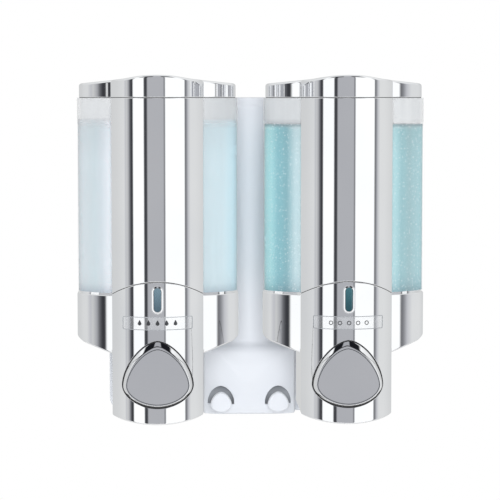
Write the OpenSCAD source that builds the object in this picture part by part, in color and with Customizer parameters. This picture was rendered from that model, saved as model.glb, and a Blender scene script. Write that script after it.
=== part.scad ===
// Wall mounted twin soap dispenser.
// Two refillable pump units hang on one white wall plate, which also carries two small hooks.
// Units are millimetres. X runs to the right, the front faces -Y, +Z is up.
// The wall is the plane y = 0, and the origin is the centre of the plate's back face.

/* [Layout] */
// Distance between the centre lines of the two dispenser units
unit_pitch = 111.3; // [108:0.1:120]
// Height of the rim on which each lid closes
rim_z = 97.3; // [90:0.1:110]

/* [Chamber] */
// Half of the width of the refill chamber
cham_hw = 47.8; // [46:0.1:50]
// Radius of the chamber's bowed front wall
cham_r = 64; // [56:0.5:70]
// Distance of the chamber's front wall from the wall plane
cham_front = 65; // [62:0.1:68]
// Distance of the chamber's rear wall from the wall plane
cham_rear = 18; // [17:0.1:20]
// Radius of the chamber's front corners
cham_cf = 12; // [8:0.5:14]
// Radius of the chamber's rear corners
cham_cr = 14; // [8:0.5:16]
// Height of the underside of the chamber
cham_z = -18.9; // [-22:0.1:-15]
// Height of the underside of the sump that feeds the pump
sump_z = -34; // [-36:0.5:-32]
// How far the chromed collar stands proud of the chamber
collar_out = 0.4; // [-0.4:0.1:0.8]
// Wall thickness of the chamber
cham_t = 2; // [1.5:0.1:2.4]
// Gap between the column's outer face and the chamber's bulge behind it
core_gap = 2.6; // [2.5:0.1:3]

/* [Column] */
// Radius of the chromed column's front face
col_r = 29; // [28.5:0.1:30]
// Distance of the column's arc centre from the wall plane
col_cy = 52; // [51:0.1:53]
// Half of the width of the column
col_hw = 26.8; // [26:0.1:27.2]
// Wall thickness of the chromed mouldings
chrome_t = 2; // [1.6:0.1:2.4]
// Height of the middle of the curved seam between cover and housing
seam_z = -9.3; // [-10:0.1:-8]
// How far the seam drops from its middle to the column's edges
seam_drop = 8.4; // [7:0.1:9]
// Distance of the column's rear edge from the wall plane
shelf_y = 24; // [23.7:0.1:26]
// Height of the ledge below which the housing reaches further back
shelf_z = -54; // [-56:0.5:-52]
// Distance of the housing's rear from the wall plane below the ledge
tail_y = 10; // [9:0.5:12]
// Height of the lowest point of the housing
foot_z = -92.9; // [-95:0.1:-92]
// How far the housing's underside rises from its middle to the edges
foot_rise = 3.4; // [3:0.1:4]

/* [Lid] */
// Rise of the lid above its seam at the outer corners
lid_low = 8.2; // [6:0.1:9]
// Rise of the lid above its seam over the middle of the column
lid_top = 12.9; // [12:0.1:14]
// Part of that rise that belongs to the narrow crown over the column
lid_crown = 0.8; // [0:0.1:2]
// How far the lid's sides lie inside the chamber's
lid_inset = 1.2; // [0.3:0.1:1.5]
// Radius of the hinge pin
pin_r = 1.2; // [1:0.05:1.4]
// Distance of the hinge pin from the wall plane
pin_y = 14.5; // [14:0.1:15]
// Height of the hinge pin
pin_z = 99; // [98.5:0.1:99.5]

/* [Button] */
// Half of the width of the opening for the button
btn_hw = 20.8; // [20:0.1:21.5]
// Height of the button opening's widest level
btn_z = -70.3; // [-71:0.1:-69]
// Rise of the button opening above its widest level
btn_up = 26.6; // [25:0.1:27.5]
// Drop of the button opening below its widest level
btn_dn = 12.8; // [12:0.1:13.5]

/* [Window and label] */
// Height of the middle of the level window
win_z = -19.7; // [-21:0.1:-18.5]
// Width of the opening for the level window
win_w = 6; // [5:0.1:7]
// Height of the opening for the level window
win_h = 15.6; // [14:0.1:16]
// Height of the label's lower edge
label_z = -37.3; // [-38:0.1:-36.5]
// Height of the label
label_h = 7.8; // [7:0.1:8.2]
// Half of the width of the label
label_hw = 20.1; // [19:0.1:21]

/* [Pump] */
// Distance of the pump's vertical axis from the wall plane
pump_y = 50; // [49:0.5:51]
// Height of the squeeze bulb's axis
bulb_z = -66; // [-67:0.5:-65]
// Height of the inlet valve's seat
seat_z = -50; // [-50.5:0.1:-49.5]
// Height of the pump body's underside
pump_foot = -84; // [-84.5:0.1:-83.5]
// Radius of the bulb's dome
bulb_r = 11.2; // [10.5:0.1:11.3]

/* [Wall plate] */
// Half of the width of the wall plate
plate_hw = 86; // [84:0.5:90]
// Height of the plate's top edge
plate_top = 97.5; // [95:0.5:100]
// Height of the plate's bottom edge
plate_bot = -96.5; // [-98:0.5:-95]
// Thickness of the plate's sheet
plate_t = 3; // [2.5:0.1:3.2]
// Half of the width of the raised middle
apron_hw = 28.2; // [26:0.1:28.5]
// Height at which the ridge between the units swells into the apron
apron_z = -54.5; // [-58:0.5:-52]
// Distance of the apron's front from the wall plane
apron_d = 20.2; // [18:0.1:21]
// Radius of the apron's bow from side to side
apron_r = 62.2; // [50:0.1:80]
// Distance of the ridge's front from the wall plane
ridge_d = 11; // [9:0.1:12]
// Radius of the ridge's bow from side to side
ridge_r = 45; // [40:0.5:60]
// Distance of the hooks from the middle
hook_x = 17.5; // [16:0.1:18.5]
// Half of the width of each hook's knob
hook_hw = 6.5; // [6:0.1:7]
// Height at which each knob is widest
hook_z = -89.6; // [-90.5:0.1:-88.5]
// Height of the lower pair of tongues
tongue_z = -5; // [-10:1:0]
// Distance between the lower and the upper pair of tongues
tongue_step = 60; // [50:1:62]
// Distance of the tape pads from the middle
tape_x = 52; // [48:1:56]
// Half of the width of each seat for the tape
tape_hw = 14; // [10:0.5:16]
// Half of the height of each seat for the tape
tape_hh = 84; // [60:1:86]
// Depth of each seat for the tape
tape_t = 1.2; // [0.8:0.1:1.4]
// Distance of the screw holes from the middle
screw_x = 78; // [76:0.5:79]
// Height of the upper screw holes
screw_top = 84; // [80:1:88]
// Height of the lower screw holes
screw_low = -46; // [-50:1:-40]
// Radius of the screw holes
screw_r = 2.25; // [2:0.05:2.5]

/* [Hidden] */
$fn = 64;
ux = unit_pitch / 2;
big_cy = cham_r - cham_front;
seam_r = (col_hw * col_hw + seam_drop * seam_drop) / (2 * seam_drop);
foot_r = (col_hw * col_hw + foot_rise * foot_rise) / (2 * foot_rise);
lid_z = rim_z + 0.2;
apron_cy = apron_r - apron_d;
ridge_cy = ridge_r - ridge_d;

// ---------- outlines ----------

// Points along an arc
function arc(cx, cy, r, a0, a1, n) =
  [for (i = [0 : n]) let (a = a0 + (a1 - a0) * i / n) [cx + r * cos(a), cy + r * sin(a)]];

// Height of the corner centres where a front corner meets the bowed front wall
cf_y = big_cy - sqrt(pow(cham_r - cham_cf, 2) - pow(cham_hw - cham_cf, 2));
// Direction in which the bowed front wall ends
cf_a = atan2(cf_y - big_cy, cham_hw - cham_cf);

// Plan of the refill chamber, grown by g on every side
module body2d(g = 0) {
  rear_y = -cham_rear - cham_cr;
  polygon(concat(
    arc(0, big_cy, cham_r + g, -180 - cf_a, cf_a, 18),
    arc(cham_hw - cham_cf, cf_y, cham_cf + g, cf_a, 0, 6),
    arc(cham_hw - cham_cr, rear_y, cham_cr + g, 0, 90, 9),
    arc(-cham_hw + cham_cr, rear_y, cham_cr + g, 90, 180, 9),
    arc(-cham_hw + cham_cf, cf_y, cham_cf + g, -180, -180 - cf_a, 6)
  ));
}

// Plan of the column, grown by g, and cut off at y = yb
module col2d(g = 0, yb = -shelf_y) {
  intersection() {
    union() {
      translate([0, -col_cy]) circle(r = col_r + g);
      translate([-40, -col_cy]) square([80, yb + col_cy]);
    }
    translate([-col_hw - g, -100]) square([2 * (col_hw + g), 100 + yb]);
  }
}

// Half outline with a rounded top, two side corners and a round foot
function pick_pts(a, up, dn, n) = concat(
  [for (i = [0 : n]) let (t = 90 * i / n)
    [a * pow(cos(t), 2 / 1.65), btn_z + up * pow(sin(t), 2 / 1.65)]],
  [for (i = [n - 1 : -1 : 0]) let (t = 90 * i / n)
    [-a * pow(cos(t), 2 / 1.65), btn_z + up * pow(sin(t), 2 / 1.65)]],
  [for (i = [1 : n]) let (t = 90 * i / n)
    [-a * pow(cos(t), 2 / 1.9), btn_z - dn * pow(sin(t), 2 / 1.9)]],
  [for (i = [n - 1 : -1 : 1]) let (t = 90 * i / n)
    [a * pow(cos(t), 2 / 1.9), btn_z - dn * pow(sin(t), 2 / 1.9)]]
);

// Outline of the button opening, grown by g, in the front view
module pick2d(g = 0) polygon(pick_pts(btn_hw + g, btn_up + g, btn_dn + g, 10));

// Stands a front view outline up and runs it from y = y0 back to y = y1
module front_view(y0, y1) translate([0, y1, 0]) rotate([90, 0, 0]) linear_extrude(y1 - y0) children();

// Runs a plan outline from z0 up to z1
module plan(z0, z1) translate([0, 0, z0]) linear_extrude(z1 - z0) children();

// A round bar along the wall normal, from y = y0 back to y = y1
module bar_y(r, y0, y1) translate([0, y1, 0]) rotate([90, 0, 0]) cylinder(r = r, h = y1 - y0);

// Upright oval slot
module oval2d(w, h) {
  r = w / 2;
  union() {
    translate([0, h / 2 - r]) circle(r = r);
    translate([0, r - h / 2]) circle(r = r);
    translate([-r, r - h / 2]) square([w, h - w]);
  }
}

// Distance that grows like x far out and levels off in the middle
function soft(x) = sqrt(x * x + 64);

// Rise of the lid above its seam at a distance x from the unit's middle
function lid_rise(x) =
  let (slope = (lid_top - lid_crown - lid_low) / (soft(46) - soft(0)),
       u = min(1, max(0, (22 - abs(x)) / 14)))
  lid_low + slope * (soft(46) - soft(x)) + lid_crown * u * u * (3 - 2 * u);

// Front view of the lid, d below its outer surface
module lid2d(d = 0) {
  polygon(concat(
    [[-50, -5]],
    [for (i = [-24 : 24]) let (x = i * 2) [x, lid_rise(x) - d]],
    [[50, lid_rise(48) - d], [50, -5]]
  ));
}

// ---------- one dispenser unit, drawn around x = 0 ----------

module chamber_u() {
  difference() {
    union() {
      plan(cham_z, rim_z) body2d(0);
      plan(sump_z, rim_z) col2d(-core_gap, -30);
      translate([0, -pump_y, sump_z - 10]) cylinder(r = 7, h = 11);
    }
    plan(cham_z + cham_t, rim_z + 1) body2d(-cham_t);
    plan(sump_z + cham_t, rim_z + 1) col2d(-core_gap - cham_t, -30 - cham_t);
    translate([0, -pump_y, sump_z - 11]) cylinder(r = 4.5, h = 15);
  }
}

module hanger_u() {
  difference() {
    union() {
      // spine on the chamber's rear wall
      translate([-22, -cham_rear, -50]) cube([44, 4, 145]);
      // two downward pockets that drop over the plate's tongues
      for (z = [0, tongue_step])
        translate([-16, -14, tongue_z + 8 + z]) cube([32, 10.4, 20]);
      // hinge lugs for the lid
      for (s = [-1, 1]) translate([s * 16.1 - 3.9, 0, 0]) {
        translate([0, -pin_y, pin_z]) rotate([0, 90, 0]) cylinder(r = 3, h = 7.8);
        translate([0, -17.5, 90]) cube([7.8, 6, 9]);
      }
    }
    for (z = [0, tongue_step])
      translate([-12.4, -10.4, tongue_z + 7 + z]) cube([24.8, 3.8, 18]);
    translate([-25, -pin_y, pin_z]) rotate([0, 90, 0]) cylinder(r = pin_r + 0.02, h = 50);
  }
}

module lid_u() {
  difference() {
    union() {
      difference() {
        intersection() {
          plan(lid_z, lid_z + 20) union() {
            body2d(-lid_inset);
            col2d(0, -40);
          }
          translate([0, 0, lid_z]) front_view(-100, 0) lid2d(0);
        }
        intersection() {
          plan(lid_z - 1, lid_z + 20) union() {
            body2d(-lid_inset - chrome_t);
            col2d(-chrome_t, -40);
          }
          translate([0, 0, lid_z]) front_view(-100, 0) lid2d(chrome_t);
        }
      }
      // hinge knuckle
      translate([-11.8, -pin_y, pin_z]) rotate([0, 90, 0]) cylinder(r = 3, h = 23.6);
      translate([-11.8, -20.7, lid_z + 0.1]) cube([23.6, 6.2, 4]);
    }
    translate([-25, -pin_y, pin_z]) rotate([0, 90, 0]) cylinder(r = pin_r + 0.05, h = 50);
  }
}

module lid_pin_u() {
  translate([-20, -pin_y, pin_z]) rotate([0, 90, 0]) cylinder(r = pin_r, h = 40);
}

// Everything under the curved seam, seen from the front
module seam2d(g = 0) translate([0, seam_z - seam_r]) circle(r = seam_r + g);

module front_cover_u() {
  difference() {
    plan(-20, rim_z) col2d(0, -40);
    plan(-21, rim_z + 1) col2d(-chrome_t, -39);
    plan(-21, rim_z + 1) body2d(0.3);
    front_view(-100, 0) seam2d(0.15);
  }
}

module collar2d(u = 0) {
  polygon([
    [-50, -19.2], [-50, -43.2 + u], [-47.6, -45.6 + u], [-44.2, -47.8 + u],
    [-col_hw, -53.6 + u], [col_hw, -53.6 + u], [44.2, -47.8 + u], [47.6, -45.6 + u],
    [50, -43.2 + u], [50, -19.2]
  ]);
}

module collar_u() {
  difference() {
    intersection() {
      plan(-60, -19.2) body2d(collar_out);
      front_view(-100, -cham_rear) collar2d(0);
    }
    intersection() {
      plan(-60, -10) body2d(collar_out - chrome_t);
      front_view(-100, 0) union() {
        collar2d(chrome_t);
        translate([-45, -20]) square([90, 5]);
      }
    }
    plan(-70, 0) col2d(0.3, 0.3 - shelf_y);
  }
}

module housing_u() {
  difference() {
    intersection() {
      union() {
        plan(-95, shelf_z) col2d(0, -tail_y);
        plan(shelf_z, 0) col2d();
      }
      front_view(-100, 0) intersection() {
        seam2d(-0.15);
        translate([0, foot_z + foot_r]) circle(r = foot_r);
      }
    }
    intersection() {
      union() {
        plan(-95, shelf_z - chrome_t) col2d(-chrome_t, -tail_y - chrome_t);
        plan(shelf_z - 3, 1) col2d(-chrome_t, -shelf_y - chrome_t);
      }
      front_view(-100, 0) translate([0, foot_z + foot_r]) circle(r = foot_r - chrome_t);
    }
    // room for the chamber's underside
    plan(-19.2, 5) body2d(0.3);
    // opening for the button
    front_view(-100, -60) pick2d(0);
    // opening for the level window
    translate([0, 0, win_z]) front_view(-100, -70) oval2d(win_w, win_h);
    // opening for the nozzle
    translate([0, -pump_y, -100]) cylinder(r = 6, h = 20);
  }
}

// Tilted face of the button, d behind the outer face, t thick, g larger
module button_face(d, t, g) {
  translate([0, -77.2, -48.6]) rotate([-8.65, 0, 0]) translate([0, 77.2, 48.6])
    translate([0, d, 0]) front_view(-77.2, -77.2 + t)
      translate([0, 0.3]) polygon(pick_pts(19 + g, 21.9 + g, 12.2 + g, 8));
}

module button_u() {
  union() {
    difference() {
      hull() {
        front_view(-75.5, -75.3) pick2d(-0.6);
        button_face(0, 0.2, 0);
      }
      hull() {
        front_view(-75.4, -75.2) pick2d(-2.6);
        button_face(2, 0.2, -1.6);
      }
    }
    difference() {
      front_view(-75.4, -71.5) pick2d(-0.6);
      front_view(-76, -71) pick2d(-2.6);
    }
    // stops that keep the button from falling out of the housing
    translate([-7, -77.6, btn_z + btn_up - 2.4]) cube([14, 4.2, 4.4]);
    translate([-7, -77.6, btn_z - btn_dn - 2]) cube([14, 4.2, 4.4]);
    // boss that presses the bulb
    translate([0, 0, bulb_z]) bar_y(5, -78.6, -71.8);
  }
}

module window_bezel_u() {
  translate([0, 0, win_z]) difference() {
    union() {
      front_view(-81.9, -81.2) oval2d(win_w + 1.2, win_h + 1.2);
      front_view(-81.3, -79.2) oval2d(win_w - 0.4, win_h - 0.4);
    }
    front_view(-83, -78) oval2d(win_w - 1.1, win_h - 1.1);
  }
}

module window_lens_u()
  translate([0, 0, win_z]) front_view(-81.5, -79.4) oval2d(win_w - 1.5, win_h - 1.5);

module label_u() {
  plan(label_z, label_z + label_h) intersection() {
    difference() {
      translate([0, -col_cy]) circle(r = col_r + 0.7);
      translate([0, -col_cy]) circle(r = col_r + 0.3);
    }
    translate([-label_hw, -90]) square([2 * label_hw, 20]);
  }
}

module pump_body_u() {
  difference() {
    union() {
      translate([0, -pump_y, seat_z + 3]) cylinder(r = 11, h = 9.5);
      translate([0, -pump_y, pump_foot]) cylinder(r = 9.5, h = 40);
      translate([0, 0, bulb_z]) bar_y(15, -60.5, -50);
    }
    // socket for the chamber's neck
    translate([0, -pump_y, seat_z + 4]) cylinder(r = 9, h = 10);
    // inlet seat
    translate([0, -pump_y, seat_z]) cylinder(r = 1.6, h = 5);
    for (a = [45 : 90 : 315])
      translate([4.2 * cos(a), -pump_y + 4.2 * sin(a), seat_z]) cylinder(r = 1.4, h = 5);
    // pumping space
    translate([0, -pump_y, pump_foot + 5]) cylinder(r = 7, h = 30);
    translate([0, 0, bulb_z]) bar_y(11.5, -61, -52);
    // outlet
    translate([0, -pump_y, pump_foot + 3]) cylinder(r = 4.6, h = 3);
    translate([0, -pump_y, pump_foot - 1]) cylinder(r = 7, h = 5);
  }
}

// Quarter of an oval dome, from its edge to its top
function dome(a, b, z, n) =
  [for (i = [0 : n]) let (t = 90 * i / n) [a * cos(t), z + b * sin(t)]];

module pump_bulb_u() {
  translate([0, -60.6, bulb_z]) rotate([90, 0, 0]) rotate_extrude() polygon(concat(
    [[14.5, 0], [14.5, 1.4]], dome(bulb_r, 9.4, 1.4, 9),
    [for (i = [9 : -1 : 0]) let (t = 90 * i / 9) [(bulb_r - 1.5) * cos(t), 1 + 8.2 * sin(t)]],
    [[bulb_r - 1.5, 0]]
  ));
}

module bulb_ring_u() {
  translate([0, 0, bulb_z]) difference() {
    bar_y(16.5, -64.5, -59.8);
    bar_y(11.8, -65, -59);
    bar_y(15.3, -62.3, -59);
  }
}

module inlet_valve_u() {
  translate([0, -pump_y, seat_z]) union() {
    cylinder(r = 6.2, h = 0.8);
    translate([0, 0, 0.5]) cylinder(r = 1.3, h = 4.5);
    translate([0, 0, 4.4]) cylinder(r = 2.2, h = 1.2);
  }
}

module outlet_valve_u() {
  translate([0, -pump_y, pump_foot]) difference() {
    union() {
      translate([0, 0, 2.6]) cylinder(r = 6.6, h = 1.2);
      translate([0, 0, -0.4]) cylinder(r = 4.2, h = 3.2);
      translate([-3.6, -0.9, -2.6]) cube([7.2, 1.8, 2.4]);
    }
    cylinder(r = 3, h = 5);
    translate([-2.8, -0.2, -3]) cube([5.6, 0.4, 4]);
  }
}

module nozzle_u() {
  translate([0, -pump_y, pump_foot]) difference() {
    union() {
      translate([0, 0, -0.2]) cylinder(r = 6.7, h = 2.6);
      translate([0, 0, -2.2]) cylinder(r = 9.5, h = 2.1);
      translate([0, 0, -8]) cylinder(r = 5.5, h = 6.2);
    }
    translate([0, 0, -3]) cylinder(r = 4.9, h = 6);
    translate([0, 0, -9]) cylinder(r = 2.5, h = 7);
  }
}

module neck_seal_u() {
  translate([0, -pump_y, -41]) rotate_extrude() translate([8, 0]) circle(r = 0.8);
}

// ---------- wall plate ----------

// Rounded rectangle in the front view
module rounded2d(x0, z0, x1, z1, r) {
  polygon(concat(
    arc(x1 - r, z1 - r, r, 0, 90, 6), arc(x0 + r, z1 - r, r, 90, 180, 6),
    arc(x0 + r, z0 + r, r, 180, 270, 6), arc(x1 - r, z0 + r, r, 270, 360, 6)
  ));
}

// Side view of the raised middle, d behind its outer surface
module middle2d(d = 0) {
  // first number: distance from the wall, second: height
  polygon([
    [0, plate_bot + d], [17 - d, plate_bot + d], [18.6 - d, -93], [20 - d, -84],
    [20.2 - d, -76], [19 - d, -66], [16.5 - d, -57], [13.5 - d, -54.5 + d / 2],
    [12 - d, -40], [11 - d, 0], [10.4 - d, 60], [9.8 - d, 92], [7.8 - d, plate_top - d], [0, plate_top - d]
  ]);
}

// Runs a side view outline from -w to w
module side_view(w) rotate([90, 0, -90]) translate([0, 0, -w]) linear_extrude(2 * w) children();

// Pointed arch over each hook, w to each side of its middle and h high
function arch_pts(w, z0, h) = concat(
  [[w, z0 - 1.5], [w, z0]],
  [for (i = [1 : 9]) [w * pow(cos(i * 10), 2 / 1.8), z0 + h * pow(sin(i * 10), 2 / 1.8)]],
  [for (i = [8 : -1 : 0]) [-w * pow(cos(i * 10), 2 / 1.8), z0 + h * pow(sin(i * 10), 2 / 1.8)]],
  [[-w, z0 - 1.5]]
);

module hook() {
  // stem, then the knob
  translate([0, 0, hook_z + 1.4]) bar_y(3.4, -20, -13);
  front_view(-24.6, -19.4) polygon(concat(
    [for (i = [0 : 12]) let (t = 90 * i / 12)
      [hook_hw * pow(cos(t), 2 / 1.7), hook_z + 7.6 * pow(sin(t), 2 / 1.7)]],
    [for (i = [11 : -1 : 0]) let (t = 90 * i / 12)
      [-hook_hw * pow(cos(t), 2 / 1.7), hook_z + 7.6 * pow(sin(t), 2 / 1.7)]],
    [for (i = [1 : 12]) let (t = 90 * i / 12) [-hook_hw * cos(t), hook_z - 4.6 * sin(t)]],
    [for (i = [11 : -1 : 1]) let (t = 90 * i / 12) [hook_hw * cos(t), hook_z - 4.6 * sin(t)]]
  ));
}

module wall_plate() color([0.93, 0.95, 0.97]) {
  difference() {
    union() {
      front_view(-plate_t, 0) rounded2d(-plate_hw, plate_bot, plate_hw, plate_top, 9);
      // raised middle: a bowed ridge that swells into the apron below it
      intersection() {
        side_view(apron_hw) middle2d(0);
        union() {
          plan(plate_bot, apron_z) translate([0, apron_cy]) circle(r = apron_r);
          plan(apron_z - 1, plate_top) translate([0, ridge_cy]) circle(r = ridge_r);
        }
      }
      // tongues that carry the units
      for (s = [-1, 1]) for (z = [tongue_z, tongue_z + tongue_step]) translate([s * ux, 0, 0]) {
        translate([-12, -10, z]) cube([24, 8, 7]);
        translate([-12, -10, z]) cube([24, 3, 25]);
      }
    }
    // hollow back, with a rib left up the middle
    for (s = [-1, 1]) intersection() {
      side_view(26) union() {
        middle2d(2.6);
        translate([-1, -93.5]) square([2, 188]);
      }
      translate([s * 14.5 - 11.5, -12, -93.5]) cube([23, 13, 188]);
      union() {
        plan(-94, apron_z - 2.6) translate([0, apron_cy]) circle(r = apron_r - 2.6);
        plan(-94, 95) translate([0, ridge_cy]) circle(r = ridge_r - 2.6);
      }
    }
    // recess over and behind each hook
    for (s = [-1, 1]) translate([s * hook_x, 0, 0])
      front_view(-40, -14.4) polygon(arch_pts(hook_hw + 1.5, hook_z + 1, 11.3));
    // screw holes
    for (s = [-1, 1]) for (z = [screw_low, screw_top])
      translate([s * screw_x, 0, z]) bar_y(screw_r, -20, 1);
    // shallow seats for the tape
    for (s = [-1, 1])
      translate([s * tape_x - tape_hw, -tape_t, -tape_hh]) cube([2 * tape_hw, 2, 2 * tape_hh]);
  }
  for (s = [-1, 1]) translate([s * hook_x, 0, 0]) hook();
}

module tape_pad(s) color([0.35, 0.36, 0.38])
  translate([s * tape_x - tape_hw + 0.5, -tape_t, 0.5 - tape_hh])
    cube([2 * tape_hw - 1, tape_t, 2 * tape_hh - 1]);

module tape_pad_left() tape_pad(-1);
module tape_pad_right() tape_pad(1);

// ---------- the two units ----------

chrome_c = [0.8, 0.81, 0.83];
clear_c = [0.8, 0.9, 0.93, 0.5];
rubber_c = [0.75, 0.77, 0.78];

module at_left() translate([-ux, 0, 0]) children();
module at_right() translate([ux, 0, 0]) children();

module left_chamber() color(clear_c) at_left() chamber_u();
module left_hanger() color([0.9, 0.91, 0.92]) at_left() hanger_u();
module left_lid() color(chrome_c) at_left() lid_u();
module left_lid_pin() color([0.6, 0.6, 0.62]) at_left() lid_pin_u();
module left_front_cover() color(chrome_c) at_left() front_cover_u();
module left_collar() color(chrome_c) at_left() collar_u();
module left_housing() color(chrome_c) at_left() housing_u();
module left_button() color(chrome_c) at_left() button_u();
module left_window_bezel() color(chrome_c) at_left() window_bezel_u();
module left_window_lens() color(clear_c) at_left() window_lens_u();
module left_label() color(clear_c) at_left() label_u();
module left_pump_body() color([0.9, 0.91, 0.92]) at_left() pump_body_u();
module left_pump_bulb() color(rubber_c) at_left() pump_bulb_u();
module left_bulb_ring() color([0.9, 0.91, 0.92]) at_left() bulb_ring_u();
module left_inlet_valve() color(rubber_c) at_left() inlet_valve_u();
module left_outlet_valve() color(rubber_c) at_left() outlet_valve_u();
module left_nozzle() color([0.9, 0.91, 0.92]) at_left() nozzle_u();
module left_neck_seal() color([0.15, 0.15, 0.16]) at_left() neck_seal_u();

module right_chamber() color(clear_c) at_right() chamber_u();
module right_hanger() color([0.9, 0.91, 0.92]) at_right() hanger_u();
module right_lid() color(chrome_c) at_right() lid_u();
module right_lid_pin() color([0.6, 0.6, 0.62]) at_right() lid_pin_u();
module right_front_cover() color(chrome_c) at_right() front_cover_u();
module right_collar() color(chrome_c) at_right() collar_u();
module right_housing() color(chrome_c) at_right() housing_u();
module right_button() color(chrome_c) at_right() button_u();
module right_window_bezel() color(chrome_c) at_right() window_bezel_u();
module right_window_lens() color(clear_c) at_right() window_lens_u();
module right_label() color(clear_c) at_right() label_u();
module right_pump_body() color([0.9, 0.91, 0.92]) at_right() pump_body_u();
module right_pump_bulb() color(rubber_c) at_right() pump_bulb_u();
module right_bulb_ring() color([0.9, 0.91, 0.92]) at_right() bulb_ring_u();
module right_inlet_valve() color(rubber_c) at_right() inlet_valve_u();
module right_outlet_valve() color(rubber_c) at_right() outlet_valve_u();
module right_nozzle() color([0.9, 0.91, 0.92]) at_right() nozzle_u();
module right_neck_seal() color([0.15, 0.15, 0.16]) at_right() neck_seal_u();

wall_plate();
tape_pad_left();
tape_pad_right();
left_chamber();
left_hanger();
left_lid();
left_lid_pin();
left_front_cover();
left_collar();
left_housing();
left_button();
left_window_bezel();
left_window_lens();
left_label();
left_pump_body();
left_pump_bulb();
left_bulb_ring();
left_inlet_valve();
left_outlet_valve();
left_nozzle();
left_neck_seal();
right_chamber();
right_hanger();
right_lid();
right_lid_pin();
right_front_cover();
right_collar();
right_housing();
right_button();
right_window_bezel();
right_window_lens();
right_label();
right_pump_body();
right_pump_bulb();
right_bulb_ring();
right_inlet_valve();
right_outlet_valve();
right_nozzle();
right_neck_seal();
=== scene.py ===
import math

import bmesh
import bpy
import numpy as np
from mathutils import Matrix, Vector
from mathutils.geometry import delaunay_2d_cdt


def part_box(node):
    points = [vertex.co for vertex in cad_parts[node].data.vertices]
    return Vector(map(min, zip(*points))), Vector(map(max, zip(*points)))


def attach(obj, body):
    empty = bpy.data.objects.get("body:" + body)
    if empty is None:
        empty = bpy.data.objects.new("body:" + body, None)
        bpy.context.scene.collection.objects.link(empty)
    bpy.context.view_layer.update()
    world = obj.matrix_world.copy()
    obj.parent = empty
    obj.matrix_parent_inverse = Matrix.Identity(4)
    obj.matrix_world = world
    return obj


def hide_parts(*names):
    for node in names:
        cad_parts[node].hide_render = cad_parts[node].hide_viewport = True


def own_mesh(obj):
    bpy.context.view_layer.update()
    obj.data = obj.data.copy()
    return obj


# Wall mounted twin soap dispenser: the looks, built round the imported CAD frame.
# Sizes are millimetres; meshes are scaled to metres when they become objects. A unit's pieces are
# built about x = 0 and placed on the left and the right.

MM = 0.001
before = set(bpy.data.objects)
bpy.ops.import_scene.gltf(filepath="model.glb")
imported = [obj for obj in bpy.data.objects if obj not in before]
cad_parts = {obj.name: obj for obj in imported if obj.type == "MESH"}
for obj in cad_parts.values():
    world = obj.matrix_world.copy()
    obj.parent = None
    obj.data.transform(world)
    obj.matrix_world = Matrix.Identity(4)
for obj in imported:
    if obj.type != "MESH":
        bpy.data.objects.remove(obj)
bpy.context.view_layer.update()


# ---------------------------------------------------------------- sizes from the frame

def corners(name):
    """Lowest and highest corner of a CAD node, in millimetres."""
    low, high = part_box(name)
    return np.array(low) / MM, np.array(high) / MM


SIDES = ("left", "right")
UNIT_X = {s: float(np.mean([c[0] for c in corners(f"{s}_chamber")])) for s in SIDES}
CX = UNIT_X["right"]
CH_LOW, CH_HIGH = corners("right_chamber")
LID_HIGH = corners("right_lid")[1]
HOUSING_LOW, HOUSING_HIGH = corners("right_housing")
COVER_HIGH = corners("right_front_cover")[1]
COLLAR_HIGH = corners("right_collar")[1]
LABEL_LOW, LABEL_HIGH = corners("right_label")
BEZEL_LOW, BEZEL_HIGH = corners("right_window_bezel")
LENS_LOW, LENS_HIGH = corners("right_window_lens")
PIN_LOW, PIN_HIGH = corners("right_lid_pin")
PLATE_LOW, PLATE_HIGH = corners("wall_plate")

# The chamber in plan: half width, rear, bow of the front, front and rear corner radii.
BODY_HW = CH_HIGH[0] - CX
BODY_REAR = CH_HIGH[1]
BODY_FRONT = -65.0
BODY_R = 64.0
BODY_CF = 12.0
BODY_CR = 14.0
# Its foot and rim, and how far the lid and the collar stand inside or outside it.
BODY_FOOT = -18.9
RIM_Z = CH_HIGH[2]
LID_INSET = BODY_HW - (LID_HIGH[0] - CX)
COLLAR_GAP = BODY_HW - (COLLAR_HIGH[0] - CX)
# The column in plan: bow radius, half width, front, corner radius and rear.
COL_R = 29.0
COL_HW = HOUSING_HIGH[0] - CX
COL_FRONT = HOUSING_LOW[1]
COL_CORNER = 0.9
COL_REAR = HOUSING_HIGH[1]
# The housing's shelf under the chamber, the pump's axis, and the gap behind the plated wall.
SHELF_Y = -24.0
SHELF_Z = -54.0
PUMP_Y = -50.0
CORE_GAP = 2.6
WALL = 2.0
SEAM_Z = -9.3
SEAM_DROP = 8.4
SEAM_GAP = 0.15
FOOT_Z = HOUSING_LOW[2]
FOOT_RISE = 3.4
WINDOW_Z = (BEZEL_LOW[2] + BEZEL_HIGH[2]) / 2


def chord_radius(half, rise):
    """Radius of an arc with this half chord and rise."""
    return (half * half + rise * rise) / (2 * rise)


SEAM_R = chord_radius(COL_HW, SEAM_DROP)
FOOT_R = chord_radius(COL_HW, FOOT_RISE)


def seam_z(x):
    """Height of the curved seam between front cover and housing."""
    return SEAM_Z - SEAM_R + np.sqrt(SEAM_R ** 2 - np.clip(x, -COL_HW, COL_HW) ** 2)


def foot_z(x):
    """Height of the housing's curved underside."""
    return FOOT_Z + FOOT_R - np.sqrt(FOOT_R ** 2 - np.clip(x, -COL_HW, COL_HW) ** 2)


# ---------------------------------------------------------------- plan outlines

def polar(cx, cy, r, a):
    """Points at angles round a centre."""
    return np.column_stack([cx + r * np.cos(a), cy + r * np.sin(a)])


def arc(cx, cy, r, a0, a1, inward=False):
    """Dense points on an arc with unit normals; inward normals point to its centre."""
    n = max(4, int(abs(math.radians(a1 - a0)) * r / 0.08))
    a = np.radians(np.linspace(a0, a1, n))
    out = polar(0, 0, 1, a)
    return np.hstack([polar(cx, cy, r, a), -out if inward else out])


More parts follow.
